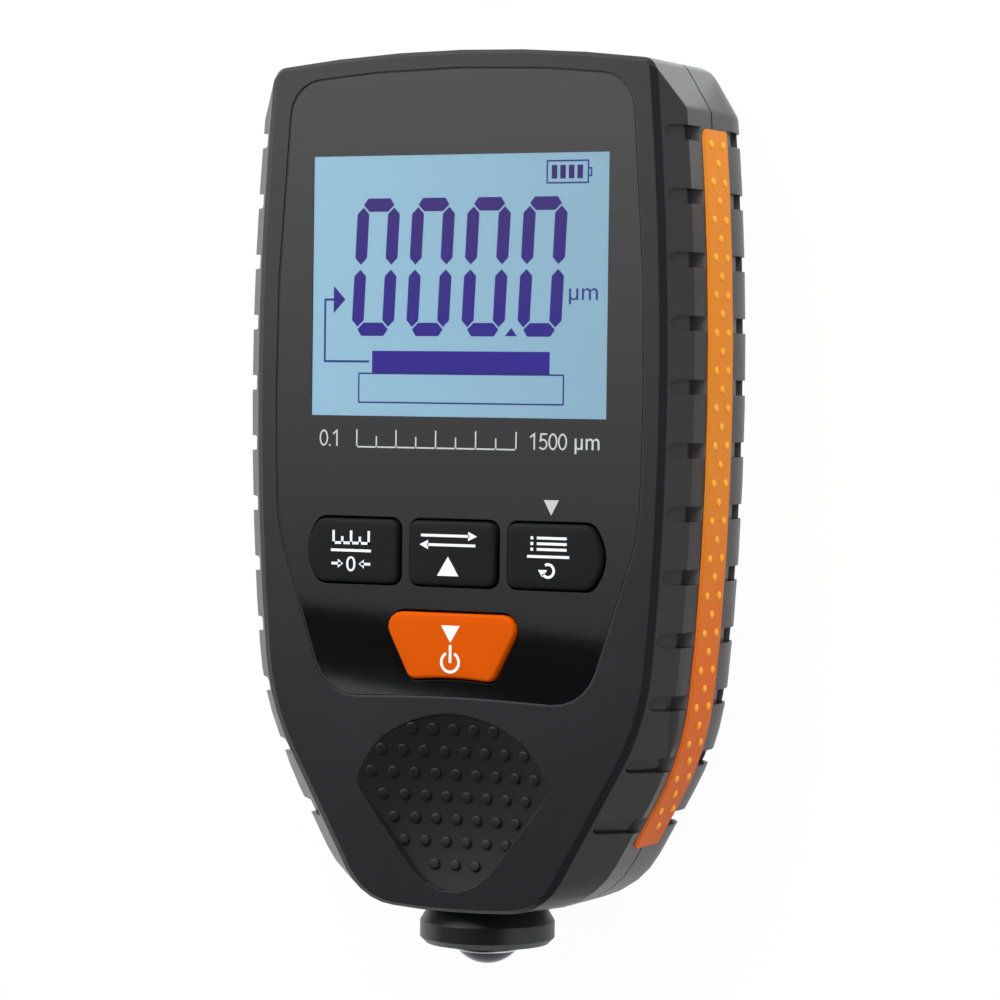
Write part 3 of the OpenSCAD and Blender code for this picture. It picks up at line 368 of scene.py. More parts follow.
def smooth_fans(vert):
    """The faces round a corner, in groups that no sharp edge parts."""
    groups = [{face} for face in vert.link_faces]
    for edge in vert.link_edges:
        if len(edge.link_faces) == 2 and edge.calc_face_angle() < SMOOTH_ANGLE:
            joined = [g for g in groups if g & set(edge.link_faces)]
            groups = [g for g in groups if g not in joined] + [set().union(*joined)]
    return groups


def shade_evenly(mesh):
    """Smooth shading that hides the slight twist of lofted faces and keeps every real edge."""
    smooth(mesh)
    normals = evened_normals(mesh)
    bm = bmesh.new()
    bm.from_mesh(mesh)
    corners = [None] * len(mesh.loops)
    for vert in bm.verts:
        for fan in smooth_fans(vert):
            shared = sum((normals[f.index] * f.calc_area() for f in fan), Vector()).normalized()
            for face in fan:
                place = [loop.vert for loop in face.loops].index(vert)
                corners[mesh.polygons[face.index].loop_start + place] = shared
    bm.free()
    mesh.normals_split_custom_set(corners)


def smoothed_node(node, name, *more_materials):
    """Stands for a node with its rounded faces shaded smooth."""
    mesh = mesh_from(joined_copy(node), name)
    shade_evenly(mesh)
    slot = slot_of[node]
    piece = add_piece(name, mesh, body_of[node], slot, SLOT_MATERIALS[slot], *more_materials)
    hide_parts(node)
    return piece


# Shells: the forward-facing ends of the flank slots take the paler grey, painted light for the fill light
# in the slots
_, shell_high = node_box("front_shell")
SLOT_FIRST = 11.4
SLOT_PITCH = 8.29
SLOT_HALF_WIDTH = 1.01
SLOT_FRONT_GAP = 1.5
FLANK_REACH = 15.0


def on_slot_end(face, mesh):
    """Whether a face lies within a slot's width and looks forwards."""
    downs = [shell_high.y - SLOT_FIRST - mesh.vertices[i].co.y / MM for i in face.vertices]
    slot_down = round(sum(downs) / len(downs) / SLOT_PITCH) * SLOT_PITCH
    in_slot = all(abs(down - slot_down) < SLOT_HALF_WIDTH for down in downs)
    middle = face.center / MM
    in_flank = abs(middle.x) > FLANK_REACH and middle.z < shell_high.z - SLOT_FRONT_GAP
    return in_slot and in_flank and face.normal.z > FACING


for node in ("front_shell", "rear_shell"):
    shell = smoothed_node(node, node + "_skin", slot_end_painted_light).data
    for face in shell.polygons:
        # The slot ends take the second material, the grey painted in for fill light
        face.material_index = int(on_slot_end(face, shell))
for node in ("battery_cover", "probe_sleeve", "probe_tip"):
    smoothed_node(node, node + "_skin")


# Keys: the solid's walls, with a full round along the upper edge and a flat crown for the legend
SHOULDER_DROP = 0.7
KEY_ROUND_IN = 0.42
KEY_ROUND_STEPS = 7
CROWN_RINGS = ((0.8, 0.02), (0.62, 0.0))
CROWN_EDGE = 0.06
NEAR = 0.004
CORNER_LEAST = 0.5


def drawn_in(points, inset):
    """The ring of points moved inwards by inset."""
    moved = []
    for before, here, after in zip(points[-1:] + points[:-1], points, points[1:] + points[:1]):
        sides = [Vector((b.y - a.y, a.x - b.x)).normalized() for a, b in ((before, here), (here, after))]
        out = (sides[0] + sides[1]).normalized()
        moved.append(here - out * inset / max(out.dot(sides[0]), CORNER_LEAST))
    return moved


def key_skin(node):
    bm = joined_copy(node)
    low, high = node_box(node)
    shoulder = high.z - SHOULDER_DROP
    upper = [f for f in bm.faces if all(v.co.z / MM > shoulder - NEAR for v in f.verts)]
    bmesh.ops.delete(bm, geom=upper, context="FACES")
    rim = [v for v in bm.verts if v.co.z / MM > shoulder - NEAR]
    middle = Vector(((low.x + high.x) / 2, sum(v.co.y for v in rim) / len(rim) / MM))
    rim.sort(key=lambda v: math.atan2(v.co.y / MM - middle.y, v.co.x / MM - middle.x))
    points = [Vector((v.co.x, v.co.y)) / MM for v in rim]
    rings = []
    for k in range(1, KEY_ROUND_STEPS + 1):
        turn = math.pi / 2 * k / KEY_ROUND_STEPS
        rise = (SHOULDER_DROP - CROWN_EDGE) * math.sin(turn)
        rings.append((drawn_in(points, KEY_ROUND_IN * (1 - math.cos(turn))), shoulder + rise))
    edge = rings[-1][0]
    for share, drop in CROWN_RINGS:
        rings.append(([middle + (p - middle) * share for p in edge], high.z - drop))
    below = rim
    for ring, level in rings:
        above = [bm.verts.new(Vector((p.x, p.y, level)) * MM) for p in ring]
        for i in range(len(above)):
            j = (i + 1) % len(above)
            bm.faces.new((below[i], below[j], above[j], above[i]))
        below = above
    bm.faces.new(below)
    mesh = mesh_from(bm, node + "_skin")
    smooth(mesh)
    slot = slot_of[node]
    piece = add_piece(node + "_skin", mesh, body_of[node], slot, SLOT_MATERIALS[slot])
    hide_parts(node)


for node in ("key_zero", "key_units", "key_mode", "key_power"):
    key_skin(node)


# Thumb rest: a finely divided dish with flat round studs, laid over the solid's dish
THUMB_TOP = shell_high.y - 88.6
THUMB_END = THUMB_TOP - 23.6
THUMB_SIDE = THUMB_TOP - 8.2
THUMB_HALF_WIDTH = 16.0
THUMB_CROWN_R = 16.1
THUMB_TIP_R = 7.6
THUMB_TIP_ANGLE = math.radians(37)
THUMB_POINT = THUMB_END - THUMB_TIP_R * (1 / math.sin(THUMB_TIP_ANGLE) - 1)
THUMB_SLOPE = math.atan2(THUMB_HALF_WIDTH, THUMB_SIDE - THUMB_POINT)
DISH_R = 60.0
DISH_DEPTH = 2.0
DISH_UP = 9.1
DISH_CENTRE = Vector((0, THUMB_END + DISH_UP, shell_high.z - DISH_DEPTH + DISH_R))
DISH_REACH = math.sqrt(DISH_R ** 2 - (DISH_R - DISH_DEPTH) ** 2)
PAD_MARGIN = 0.06
PAD_LIFT = 0.04
PAD_DEPTH = 0.2
PAD_RAYS = 120
PAD_RINGS = 20
STUD_ROWS = (5, 8, 9, 8, 7, 6, 3)
STUD_PITCH = 3.07
STUD_FIRST = 2.0
STUD_SIDES = 20
STUD_PROFILE = ((0.74, -0.15), (0.74, 0.22), (0.71, 0.32), (0.63, 0.39), (0.46, 0.415))


def dish_floor(x, y):
    return DISH_CENTRE.z - math.sqrt(DISH_R ** 2 - x ** 2 - (y - DISH_CENTRE.y) ** 2)


def on_pad(x, y):
    """Whether a point lies on the dish: below the crown, between the slopes, and above the round tip."""
    tip = THUMB_POINT + THUMB_TIP_R / math.sin(THUMB_SLOPE)
    crown = THUMB_TOP - x ** 2 / (2 * THUMB_CROWN_R) - PAD_MARGIN
    slope = THUMB_TIP_R - PAD_MARGIN
    reach = math.hypot(x, y - DISH_CENTRE.y)
    beside = abs(x) * math.cos(THUMB_SLOPE) - (y - tip) * math.sin(THUMB_SLOPE)
    round_tip = y < tip - THUMB_TIP_R * math.sin(THUMB_SLOPE) and math.hypot(x, y - tip) > slope
    return y < crown and beside < slope and reach < DISH_REACH - PAD_MARGIN and not round_tip


def pad_reach(turn):
    """Distance from the dish's middle to the edge of the pad in one direction."""
    inside, outside = 0.0, 2 * DISH_REACH
    for _ in range(20):
        half = (inside + outside) / 2
        if on_pad(half * math.cos(turn), DISH_CENTRE.y + half * math.sin(turn)):
            inside = half
        else:
            outside = half
    return inside


def add_rings(bm, rings):
    """A closed skin through rings of points, with flat ends."""
    made = [[bm.verts.new(p * MM) for p in ring] for ring in rings]
    for low, high in zip(made, made[1:]):
        for i in range(len(low)):
            j = (i + 1) % len(low)
            bm.faces.new((low[i], low[j], high[j], high[i]))
    bm.faces.new(made[0][::-1])
    bm.faces.new(made[-1])


def thumb_pad():
    bm = bmesh.new()
    turns = [2 * math.pi * i / PAD_RAYS for i in range(PAD_RAYS)]
    reaches = [pad_reach(turn) for turn in turns]

    def ring(share, lift):
        spots = [(r * share * math.cos(t), DISH_CENTRE.y + r * share * math.sin(t))
                 for r, t in zip(reaches, turns)]
        return [Vector((x, y, dish_floor(x, y) + lift)) for x, y in spots]

    shares = [1 - k / PAD_RINGS for k in range(PAD_RINGS)]
    under = [ring(share, -PAD_DEPTH) for share in shares[::-1]]
    add_rings(bm, under + [ring(share, PAD_LIFT) for share in shares])
    for row, count in enumerate(STUD_ROWS):
        y = THUMB_TOP - STUD_FIRST - row * STUD_PITCH
        for i in range(count):
            x = (i - (count - 1) / 2) * STUD_PITCH
            foot = Vector((x, y, dish_floor(x, y)))
            up = (DISH_CENTRE - foot).normalized()
            side = up.orthogonal().normalized()
            across = up.cross(side)
            angles = [2 * math.pi * k / STUD_SIDES for k in range(STUD_SIDES)]
            add_rings(bm, [
                [foot + up * rise + (side * math.cos(a) + across * math.sin(a)) * r for a in angles]
                for r, rise in STUD_PROFILE])
    mesh = mesh_from(bm, "thumb_pad")
    smooth(mesh, STUD_ANGLE)
    add_piece("thumb_pad", mesh, "housing", "case_plastic", thumb_abs)


thumb_pad()


# A polished ring round the root of the measuring tip
RING_STEPS = 64
RING_SIDES = 10
RING_R = 0.17
RING_DOWN = 0.85
tip_low, tip_high = node_box("probe_tip")
RING_Y = tip_high.y - RING_DOWN
TIP_AXIS_Z = (tip_low.z + tip_high.z) / 2
TIP_REACH = (tip_high.x - tip_low.x) / 2
TIP_RISE = tip_high.y - tip_low.y
DOME_R = (TIP_REACH ** 2 + TIP_RISE ** 2) / (2 * TIP_RISE)
RING_REACH = math.sqrt(DOME_R ** 2 - (tip_low.y + DOME_R - RING_Y) ** 2)


def band_mesh(rings, name):
    """A closed band through rings of points that come back to the first."""
    bm = bmesh.new()
    made = [[bm.verts.new(p * MM) for p in ring] for ring in rings]
    for low, high in zip(made, made[1:] + made[:1]):
        for i in range(len(low)):
            j = (i + 1) % len(low)
            bm.faces.new((low[i], low[j], high[j], high[i]))
    bmesh.ops.recalc_face_normals(bm, faces=bm.faces)
    return mesh_from(bm, name)


def tip_ring():
    rolls = [2 * math.pi * k / RING_SIDES for k in range(RING_SIDES)]
    rings = []
    for i in range(RING_STEPS):
        turn = 2 * math.pi * i / RING_STEPS
        out = Vector((math.cos(turn), 0, math.sin(turn)))
        rings.append([
            out * (RING_REACH + RING_R * math.cos(roll))
            + Vector((0, RING_Y + RING_R * math.sin(roll), TIP_AXIS_Z)) for roll in rolls])
    mesh = band_mesh(rings, "tip_ring")
    smooth(mesh, STUD_ANGLE)
    add_piece("tip_ring", mesh, "probe", "tip_steel", ring_steel)


tip_ring()


# Window panel: printed black round a clear window, with a bead of adhesive in the joint round it
BEAD_NEAR, BEAD_FAR = 0.01, 0.14
BEAD_DROP, BEAD_FOOT = 0.02, 0.5


def top_edge(bm):
    """The outline of the panel's upper face."""
    level = panel_high.z - NEAR
    top = {f for f in bm.faces if f.normal.z > FACING and f.calc_center_median().z / MM > level}
    following = {
        loop.vert: loop.link_loop_next.vert
        for face in top for loop in face.loops if len(top & set(loop.edge.link_faces)) == 1}
    ring = [max(following, key=lambda v: v.co.y)]
    while following[ring[-1]] is not ring[0]:
        ring.append(following[ring[-1]])
    return [v.co.to_2d() / MM for v in ring]


def panel_bead(outline):
    near, far = drawn_in(outline, -BEAD_NEAR), drawn_in(outline, -BEAD_FAR)
    high, low = panel_high.z - BEAD_DROP, panel_high.z - BEAD_FOOT
    section = ((near, high), (far, high), (far, low), (near, low))
    mesh = band_mesh([[Vector((p.x, p.y, level)) for p in ring] for ring, level in section], "panel_bead")
    add_piece("panel_bead", mesh, "housing", "panel_acrylic", joint_bead)


def window_panel():
    bm = joined_copy("window_panel")
    panel_bead(top_edge(bm))
    for place, normal in (
        ((SCREEN_LEFT, 0, 0), (1, 0, 0)),
        ((SCREEN_RIGHT, 0, 0), (1, 0, 0)),
        ((0, SCREEN_FOOT, 0), (0, 1, 0)),
        ((0, SCREEN_TOP, 0), (0, 1, 0)),
    ):
        everything = bm.verts[:] + bm.edges[:] + bm.faces[:]
        bmesh.ops.bisect_plane(bm, geom=everything, plane_co=Vector(place) * MM, plane_no=normal)
    for face in bm.faces:
        middle = face.calc_center_median() / MM
        inside = SCREEN_LEFT < middle.x < SCREEN_RIGHT and SCREEN_FOOT < middle.y < SCREEN_TOP
        if inside and abs(face.normal.z) > FACING:
            face.material_index = 1
    mesh = mesh_from(bm, "window_panel_skin")
    smooth(mesh)
    piece = add_piece("window_panel_skin", mesh, "housing", "panel_acrylic", panel_acrylic, window_clear)
    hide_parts("window_panel")


window_panel()


# Grip strips with their raised dots
DOT_ROW_PITCH = 2.485
DOT_STEP = 0.02
DOT_COLUMN = 1.95
DOT_RADIUS = 0.58
DOT_HEIGHT = 0.30
DOT_SINK = 0.2
DOT_FIRST_GAP = 1.94
DOT_LAST_GAP = 1.3
DOT_RINGS = 3
DOT_SIDES = 12
BESIDE = 60


def add_dome(bm, place, normal, radius, height):
    """A low dome on a surface, sunk a little so that no gap shows."""
    side = normal.orthogonal().normalized()
    across = normal.cross(side)
    rings = []
    for k in range(DOT_RINGS):
        rise = k / DOT_RINGS
        reach = radius * math.cos(rise * math.pi / 2)
        level = height * (math.sin(rise * math.pi / 2) * (1 + DOT_SINK) - DOT_SINK)
        rings.append([
            bm.verts.new((place + side * reach * math.cos(2 * math.pi * i / DOT_SIDES)
                          + across * reach * math.sin(2 * math.pi * i / DOT_SIDES) + normal * level) * MM)
            for i in range(DOT_SIDES)])
    top = bm.verts.new((place + normal * height) * MM)
    for low, high in zip(rings, rings[1:]):
        for i in range(DOT_SIDES):
            j = (i + 1) % DOT_SIDES
            bm.faces.new((low[i], low[j], high[j], high[i]))
    for i in range(DOT_SIDES):
        bm.faces.new((rings[-1][i], rings[-1][(i + 1) % DOT_SIDES], top))
    bm.faces.new(rings[0][::-1])


def grip(node, side):
    """A strip whose rows of dots keep the same distance along its curve."""
    low, high = node_box(node)
    tree = BVHTree.FromObject(nodes[node], bpy.context.evaluated_depsgraph_get())
    middle = (low.z + high.z) / 2

    def on_strip(y, z):
        start = Vector((side * BESIDE, y, z)) * MM
        place, normal, _, _ = tree.ray_cast(start, Vector((-side, 0, 0)))
        return place / MM, normal

    dots = bmesh.new()
    y = high.y - DOT_FIRST_GAP
    before = on_strip(y, middle)[0]
    walked, row = 0.0, 0
    while y > low.y + DOT_LAST_GAP:
        if walked >= row * DOT_ROW_PITCH:
            for z in ((middle,) if row % 2 else (middle - DOT_COLUMN, middle + DOT_COLUMN)):
                add_dome(dots, *on_strip(y, z), DOT_RADIUS, DOT_HEIGHT)
            row += 1
        y -= DOT_STEP
        here = on_strip(y, middle)[0]
        walked += (here - before).length
        before = here
    mesh = mesh_from(dots, node + "_dots")
    smooth(mesh)
    # The dots take the paler orange, painted in as the highlight on their tops
    add_piece(node + "_dots", mesh, "housing", "grip_rubber", grip_dots_painted_highlight)
    smoothed_node(node, node + "_skin")


grip("grip_left", -1)
grip("grip_right", 1)


# Flat marks: filled outlines and strokes, raised by the thickness of the ink
INK = 0.012
MITRE_LEAST = 0.4


def add_plate(bm, outline, level, thickness=INK):
    """A flat plate with the given outline, its foot at level."""
    foot = [bm.verts.new(Vector((x, y, level)) * MM) for x, y in outline]
    top = [bm.verts.new(Vector((x, y, level + thickness)) * MM) for x, y in outline]
    area = sum(a[0] * b[1] - b[0] * a[1] for a, b in zip(outline, outline[1:] + outline[:1]))
    if area < 0:
        foot.reverse()
        top.reverse()
    bm.faces.new(top)
    bm.faces.new(foot[::-1])
    for i in range(len(top)):
        j = (i + 1) % len(top)
        bm.faces.new((foot[i], foot[j], top[j], top[i]))


def add_rectangle(bm, left, foot, right, top, level, thickness=INK):
    add_plate(bm, [(left, foot), (right, foot), (right, top), (left, top)], level, thickness)


def add_stroke(bm, points, width, level):
    """A line of even width through the points, with mitred turns and square ends."""
    spots = [Vector(p) for p in points]
    ways = [(b - a).normalized() for a, b in zip(spots, spots[1:])]
    closed = (spots[0] - spots[-1]).length < NEAR
    if not closed:
        spots[0] -= ways[0] * width / 2
        spots[-1] += ways[-1] * width / 2
    before = [ways[-1] if closed else ways[0]] + ways
    after = ways + [ways[0] if closed else ways[-1]]
    sides = []
    for way, following in zip(before, after):
        mitre = (way + following).normalized()
        sides.append(Vector((-mitre.y, mitre.x)) * width / 2 / max(mitre.dot(way), MITRE_LEAST))
    for a, b, at_a, at_b in zip(spots, spots[1:], sides, sides[1:]):
        add_plate(bm, [tuple(a - at_a), tuple(b - at_b), tuple(b + at_b), tuple(a + at_a)], level)


def add_arc(bm, centre, radius, start, finish, width, level, steps=28):
    """A round band from one angle to another, in degrees."""
    def at(r, degrees):
        turn = math.radians(degrees)
        return (centre[0] + r * math.cos(turn), centre[1] + r * math.sin(turn))

    angles = [start + (finish - start) * i / steps for i in range(steps + 1)]
    inner, outer = radius - width / 2, radius + width / 2
    for a, b in zip(angles, angles[1:]):
        add_plate(bm, [at(outer, a), at(outer, b), at(inner, b), at(inner, a)], level)


def add_box_line(bm, left, foot, right, top, width, level):
    add_stroke(bm, [(left, foot), (right, foot), (right, top), (left, top), (left, foot)], width, level)


def add_words(bm, text, left, foot, height, level, right):
    """Plain numbers or a unit in the built-in face, fitted to a height and to a width."""
    data = bpy.data.curves.new("words", "FONT")
    data.body = text
    holder = bpy.data.objects.new("words", data)
    bpy.context.scene.collection.objects.link(holder)
    flat = holder.to_mesh()
    xs = [v.co.x for v in flat.vertices]
    ys = [v.co.y for v in flat.vertices]
    tall = max(ys)
    wide = (right - left) / (max(xs) - min(xs))
    for polygon in flat.polygons:
        corners = [flat.vertices[i].co for i in polygon.vertices]
        outline = [(left + (c.x - min(xs)) * wide, foot + c.y * height / tall) for c in corners]
        add_plate(bm, outline, level)
    holder.to_mesh_clear()
    bpy.data.objects.remove(holder)
    bpy.data.curves.remove(data)


def add_marks(name, bm, body, slot, ink):
    """Makes a piece of finished marks."""
    add_piece(name, mesh_from(bm, name), body, slot, ink)


def moved(outline, x, y):
    return [(x + u, y + v) for u, v in outline]


# Plain figures drawn as strokes, in a cell that is 1 high
FIGURE_WIDTH = 0.64
POINT_WIDTH = 0.24
OVAL_WIDE, OVAL_TALL = 0.25, 0.45


def oval(steps=24):
    turns = [2 * math.pi * i / steps for i in range(steps + 1)]
    return [(FIGURE_WIDTH / 2 + OVAL_WIDE * math.cos(t), 0.5 + OVAL_TALL * math.sin(t)) for t in turns]


FIGURES = {
    "0": oval(),
    "1": [(0.12, 0.77), (0.36, 0.95), (0.36, 0.05)],
    "5": [(0.53, 0.95), (0.17, 0.95), (0.13, 0.55), (0.23, 0.61), (0.36, 0.61), (0.48, 0.54), (0.55, 0.42),
          (0.55, 0.27), (0.48, 0.13), (0.36, 0.06), (0.22, 0.06), (0.1, 0.13)],
    ".": [(0.1, 0.05), (0.11, 0.05)],
}


def add_figures(bm, text, left, foot, height, width, level):
    x = left
    for sign in text:
        add_stroke(bm, [(x + u * height, foot + v * height) for u, v in FIGURES[sign]], width, level)
        x += height * (POINT_WIDTH if sign == "." else FIGURE_WIDTH)


# Display: its lit face is bonded right under the window, with the marks on it
SHEET_DEPTH = 0.3
SHEET_THICK = 0.1
MARKS_SHIFT = Vector((-0.21, 0.12, 0)) * MM
DIGIT_LEFT = -15.95
DIGIT_PITCH = 8.32
DIGIT_FOOT = 23.45
DIGIT_HEIGHT = 18.5
DIGIT_WIDTH = 6.45
DIGIT_SLANT = 0.048
SEGMENT_WIDTH = 1.8
SEGMENT_GAP = 0.32
SEGMENT_CUT = 0.85
DIGIT_COUNT = 4


def digit_zero(bm, left, level):
    """The six outer segments of a seven-segment zero, cut to points where they meet."""
    w, h, t, g = DIGIT_WIDTH, DIGIT_HEIGHT, SEGMENT_WIDTH, SEGMENT_GAP
    half = h / 2
    cut = t / 2
    upright = [
        (0, half + g + cut), (cut, half + g), (t, half + g + cut),
        (t, h - t - g), (cut, h - cut - g), (0, h - t - g),
    ]
    bar = [
        (cut, h - cut), (t, h - t), (w - t, h - t), (w - cut, h - cut),
        (w - t * SEGMENT_CUT, h), (t * SEGMENT_CUT, h),
    ]
    for outline in (upright, bar):
        for flip in (False, True):
            turned = [(x, h - y) if flip else (x, y) for x, y in outline]
            add_plate(bm, [(left + x + y * DIGIT_SLANT, DIGIT_FOOT + y) for x, y in turned], level)
            if outline is upright:
                mirrored = [(w - x, y) for x, y in turned]
                add_plate(bm, [(left + x + y * DIGIT_SLANT, DIGIT_FOOT + y) for x, y in mirrored], level)


BATTERY = (13.2, 43.7, 19.2, 46.6)
BAR_COUNT = 4
BAR_INSET, BAR_WIDTH, BAR_MARGIN, BAR_SPARE = 0.65, 0.82, 0.55, 1.0
NIB_LENGTH, NIB_FOOT, NIB_TOP = 0.45, 44.6, 45.6
THIN_LINE, ARROW_LINE = 0.22, 0.3
ARROW_START, ARROW_X = -13.3, -20.0
ARROW_FOOT, ARROW_Y = 20.0, 28.35
HEAD_BACK, HEAD_TIP, HEAD_HALF = -18.7, -16.9, 1.85
POINT_MARK = [(7.25, 23.5), (9.05, 23.5), (8.2, 24.6)]
LAYER_LEFT, LAYER_RIGHT = -12.7, 13.9
LAYER_FOOT, LAYER_TOP = 18.45, 21.45
BASE_LEFT, BASE_RIGHT, BASE_FOOT, BASE_GAP = -14.7, 15.95, 14.5, 0.05
UNIT_LEFT, UNIT_RIGHT, UNIT_FOOT, UNIT_HEIGHT = 16.6, 20.8, 28.3, 1.55


def bold_marks(bm, level):
    """Digits, point, layer bar, arrow head and battery bars."""
    for i in range(DIGIT_COUNT):
        digit_zero(bm, DIGIT_LEFT + i * DIGIT_PITCH, level)
    add_plate(bm, POINT_MARK, level)
    add_rectangle(bm, LAYER_LEFT, LAYER_FOOT, LAYER_RIGHT, LAYER_TOP, level)
    head = [(HEAD_BACK, ARROW_Y - HEAD_HALF), (HEAD_TIP, ARROW_Y), (HEAD_BACK, ARROW_Y + HEAD_HALF)]
    add_plate(bm, head, level)
    left, foot, right, top = BATTERY
    step = (right - left - BAR_SPARE) / BAR_COUNT
    for i in range(BAR_COUNT):
        x = left + BAR_INSET + i * step
        add_rectangle(bm, x, foot + BAR_MARGIN, x + BAR_WIDTH, top - BAR_MARGIN, level)


def thin_marks(bm, level):
    """Outline of the battery with its nib, the arrow's line, the base bar and the unit."""
    add_box_line(bm, *BATTERY, THIN_LINE, level)
    right = BATTERY[2]
    end = right + NIB_LENGTH
    add_stroke(bm, [(right, NIB_FOOT), (end, NIB_FOOT), (end, NIB_TOP), (right, NIB_TOP)], THIN_LINE, level)
    path = [(ARROW_START, ARROW_FOOT), (ARROW_X, ARROW_FOOT), (ARROW_X, ARROW_Y), (HEAD_BACK, ARROW_Y)]
    add_stroke(bm, path, ARROW_LINE, level)
    add_box_line(bm, BASE_LEFT, BASE_FOOT, BASE_RIGHT, LAYER_FOOT - BASE_GAP, THIN_LINE, level)
    add_words(bm, "µm", UNIT_LEFT, UNIT_FOOT, UNIT_HEIGHT, level, right=UNIT_RIGHT)


def display_marks():
    level = panel_high.z - SHEET_DEPTH
    sheet = bmesh.new()
    add_rectangle(
        sheet, SCREEN_LEFT, SCREEN_FOOT, SCREEN_RIGHT, SCREEN_TOP, level - SHEET_THICK, SHEET_THICK)
    add_marks("display_face", sheet, "housing", "display_glass", display_glass)
    bold = bmesh.new()
    bold_marks(bold, level)
    bmesh.ops.translate(bold, verts=bold.verts, vec=MARKS_SHIFT)
    add_marks("display_segments", bold, "housing", "display_glass", segment_ink)
    thin = bmesh.new()
    thin_marks(thin, level)
    bmesh.ops.translate(thin, verts=thin.verts, vec=MARKS_SHIFT)
    add_marks("display_lines", thin, "housing", "display_glass", segment_line)


display_marks()


# Print on the panel: the scale with its numbers, and the pointer to the right-hand key
SCALE_LEFT, SCALE_RIGHT, SCALE_FOOT = -15.0, 9.0, 8.6
SCALE_TICKS = 9
LONG_TICK, SHORT_TICK = 2.25, 1.35
SCALE_LINE = 0.2
FIGURE_HEIGHT, FIGURE_LINE, FIGURE_FOOT = 2.2, 0.22, 8.65
LEAST_LEFT, MOST_LEFT = -20.8, 10.9
SCALE_UNIT_LEFT, SCALE_UNIT_RIGHT, SCALE_UNIT_FOOT, SCALE_UNIT_HEIGHT = 17.6, 21.2, 8.75, 1.5
POINTER = [(13.2, 2.05), (14.3, 0.0), (15.4, 2.05)]


def panel_print():
    level = panel_high.z
    bm = bmesh.new()
    add_stroke(bm, [(SCALE_LEFT, SCALE_FOOT), (SCALE_RIGHT, SCALE_FOOT)], SCALE_LINE, level)
    for i in range(SCALE_TICKS):
        x = SCALE_LEFT + (SCALE_RIGHT - SCALE_LEFT) * i / (SCALE_TICKS - 1)
        rise = SHORT_TICK if i % 2 else LONG_TICK
        add_stroke(bm, [(x, SCALE_FOOT), (x, SCALE_FOOT + rise)], SCALE_LINE, level)
    add_figures(bm, "0.1", LEAST_LEFT, FIGURE_FOOT, FIGURE_HEIGHT, FIGURE_LINE, level)
    add_figures(bm, "1500", MOST_LEFT, FIGURE_FOOT, FIGURE_HEIGHT, FIGURE_LINE, level)
    add_words(bm, "µm", SCALE_UNIT_LEFT, SCALE_UNIT_FOOT, SCALE_UNIT_HEIGHT, level, right=SCALE_UNIT_RIGHT)
    add_plate(bm, POINTER, level)
    add_marks("panel_print", bm, "housing", "panel_acrylic", ink_grey)


panel_print()


# Key legends: plain signs, each measured from the middle of its key
LEGEND_LINE = 0.36
RULE_HALF = 2.9


def key_middle(node):
    low, high = node_box(node)
    return (low + high) / 2, high.z


def add_head(bm, tip, y, length, half, level):
    """An arrow head with its tip at (tip, y)."""
    add_plate(bm, [(tip, y), (tip + length, y + half), (tip + length, y - half)], level)


RULER_HALF, RULER_FOOT, RULER_TICKS = 2.7, 1.0, 5
RULER_LONG, RULER_SHORT = 2.5, 1.7
NOUGHT_HALF, NOUGHT_DOWN, NOUGHT_HEIGHT = 0.7, 2.8, 2.0
CLOSING_DOWN, CLOSING_TIP, CLOSING_TAIL, CLOSING_NECK = 1.8, 1.2, 2.8, 0.5
CLOSING_HEAD, CLOSING_HEAD_HALF = 0.8, 0.6


def zero_legend():
    """A ruler over a rule, and under it a nought between two arrows."""
    middle, level = key_middle("key_zero")
    x, y = middle.x, middle.y
    bm = bmesh.new()
    add_stroke(bm, [(x - RULE_HALF, y), (x + RULE_HALF, y)], LEGEND_LINE, level)
    foot = y + RULER_FOOT
    add_stroke(bm, [(x - RULER_HALF, foot), (x + RULER_HALF, foot)], LEGEND_LINE, level)
    for i in range(RULER_TICKS):
        tick = x - RULER_HALF + 2 * RULER_HALF / (RULER_TICKS - 1) * i
        top = y + (RULER_SHORT if i % 2 else RULER_LONG)
        add_stroke(bm, [(tick, foot), (tick, top)], LEGEND_LINE, level)
    add_words(bm, "0", x - NOUGHT_HALF, y - NOUGHT_DOWN, NOUGHT_HEIGHT, level, right=x + NOUGHT_HALF)
    line = y - CLOSING_DOWN
    for side in (-1, 1):
        tip = x + side * CLOSING_TIP
        ends = [(x + side * CLOSING_TAIL, line), (tip + side * CLOSING_NECK, line)]
        add_stroke(bm, ends, LEGEND_LINE, level)
        add_head(bm, tip, line, side * CLOSING_HEAD, CLOSING_HEAD_HALF, level)
    add_marks("key_zero_legend", bm, "key_zero", "key_rubber", ink_white)


UNITS_SHIFT = -0.4
PAIR_UP, PAIR_HALF_GAP = 1.75, 0.62
PAIR_TAIL, PAIR_NECK, PAIR_TIP = 3.9, 3.0, 4.3
PAIR_HEAD, PAIR_HEAD_HALF = 1.3, 0.62
UNITS_TRIANGLE = [(-1.6, -3.0), (1.6, -3.0), (0, -0.4)]


def units_legend():
    """Two opposite arrows over a triangle."""
    middle, level = key_middle("key_units")
    x, y = middle.x + UNITS_SHIFT, middle.y
    bm = bmesh.new()
    for side in (-1, 1):
        line = y + PAIR_UP + side * PAIR_HALF_GAP
        add_stroke(bm, [(x - side * PAIR_TAIL, line), (x + side * PAIR_NECK, line)], LEGEND_LINE, level)
        add_head(bm, x + side * PAIR_TIP, line, -side * PAIR_HEAD, PAIR_HEAD_HALF, level)
    add_plate(bm, moved(UNITS_TRIANGLE, x, y), level)
    add_marks("key_units_legend", bm, "key_units", "key_rubber", ink_white)


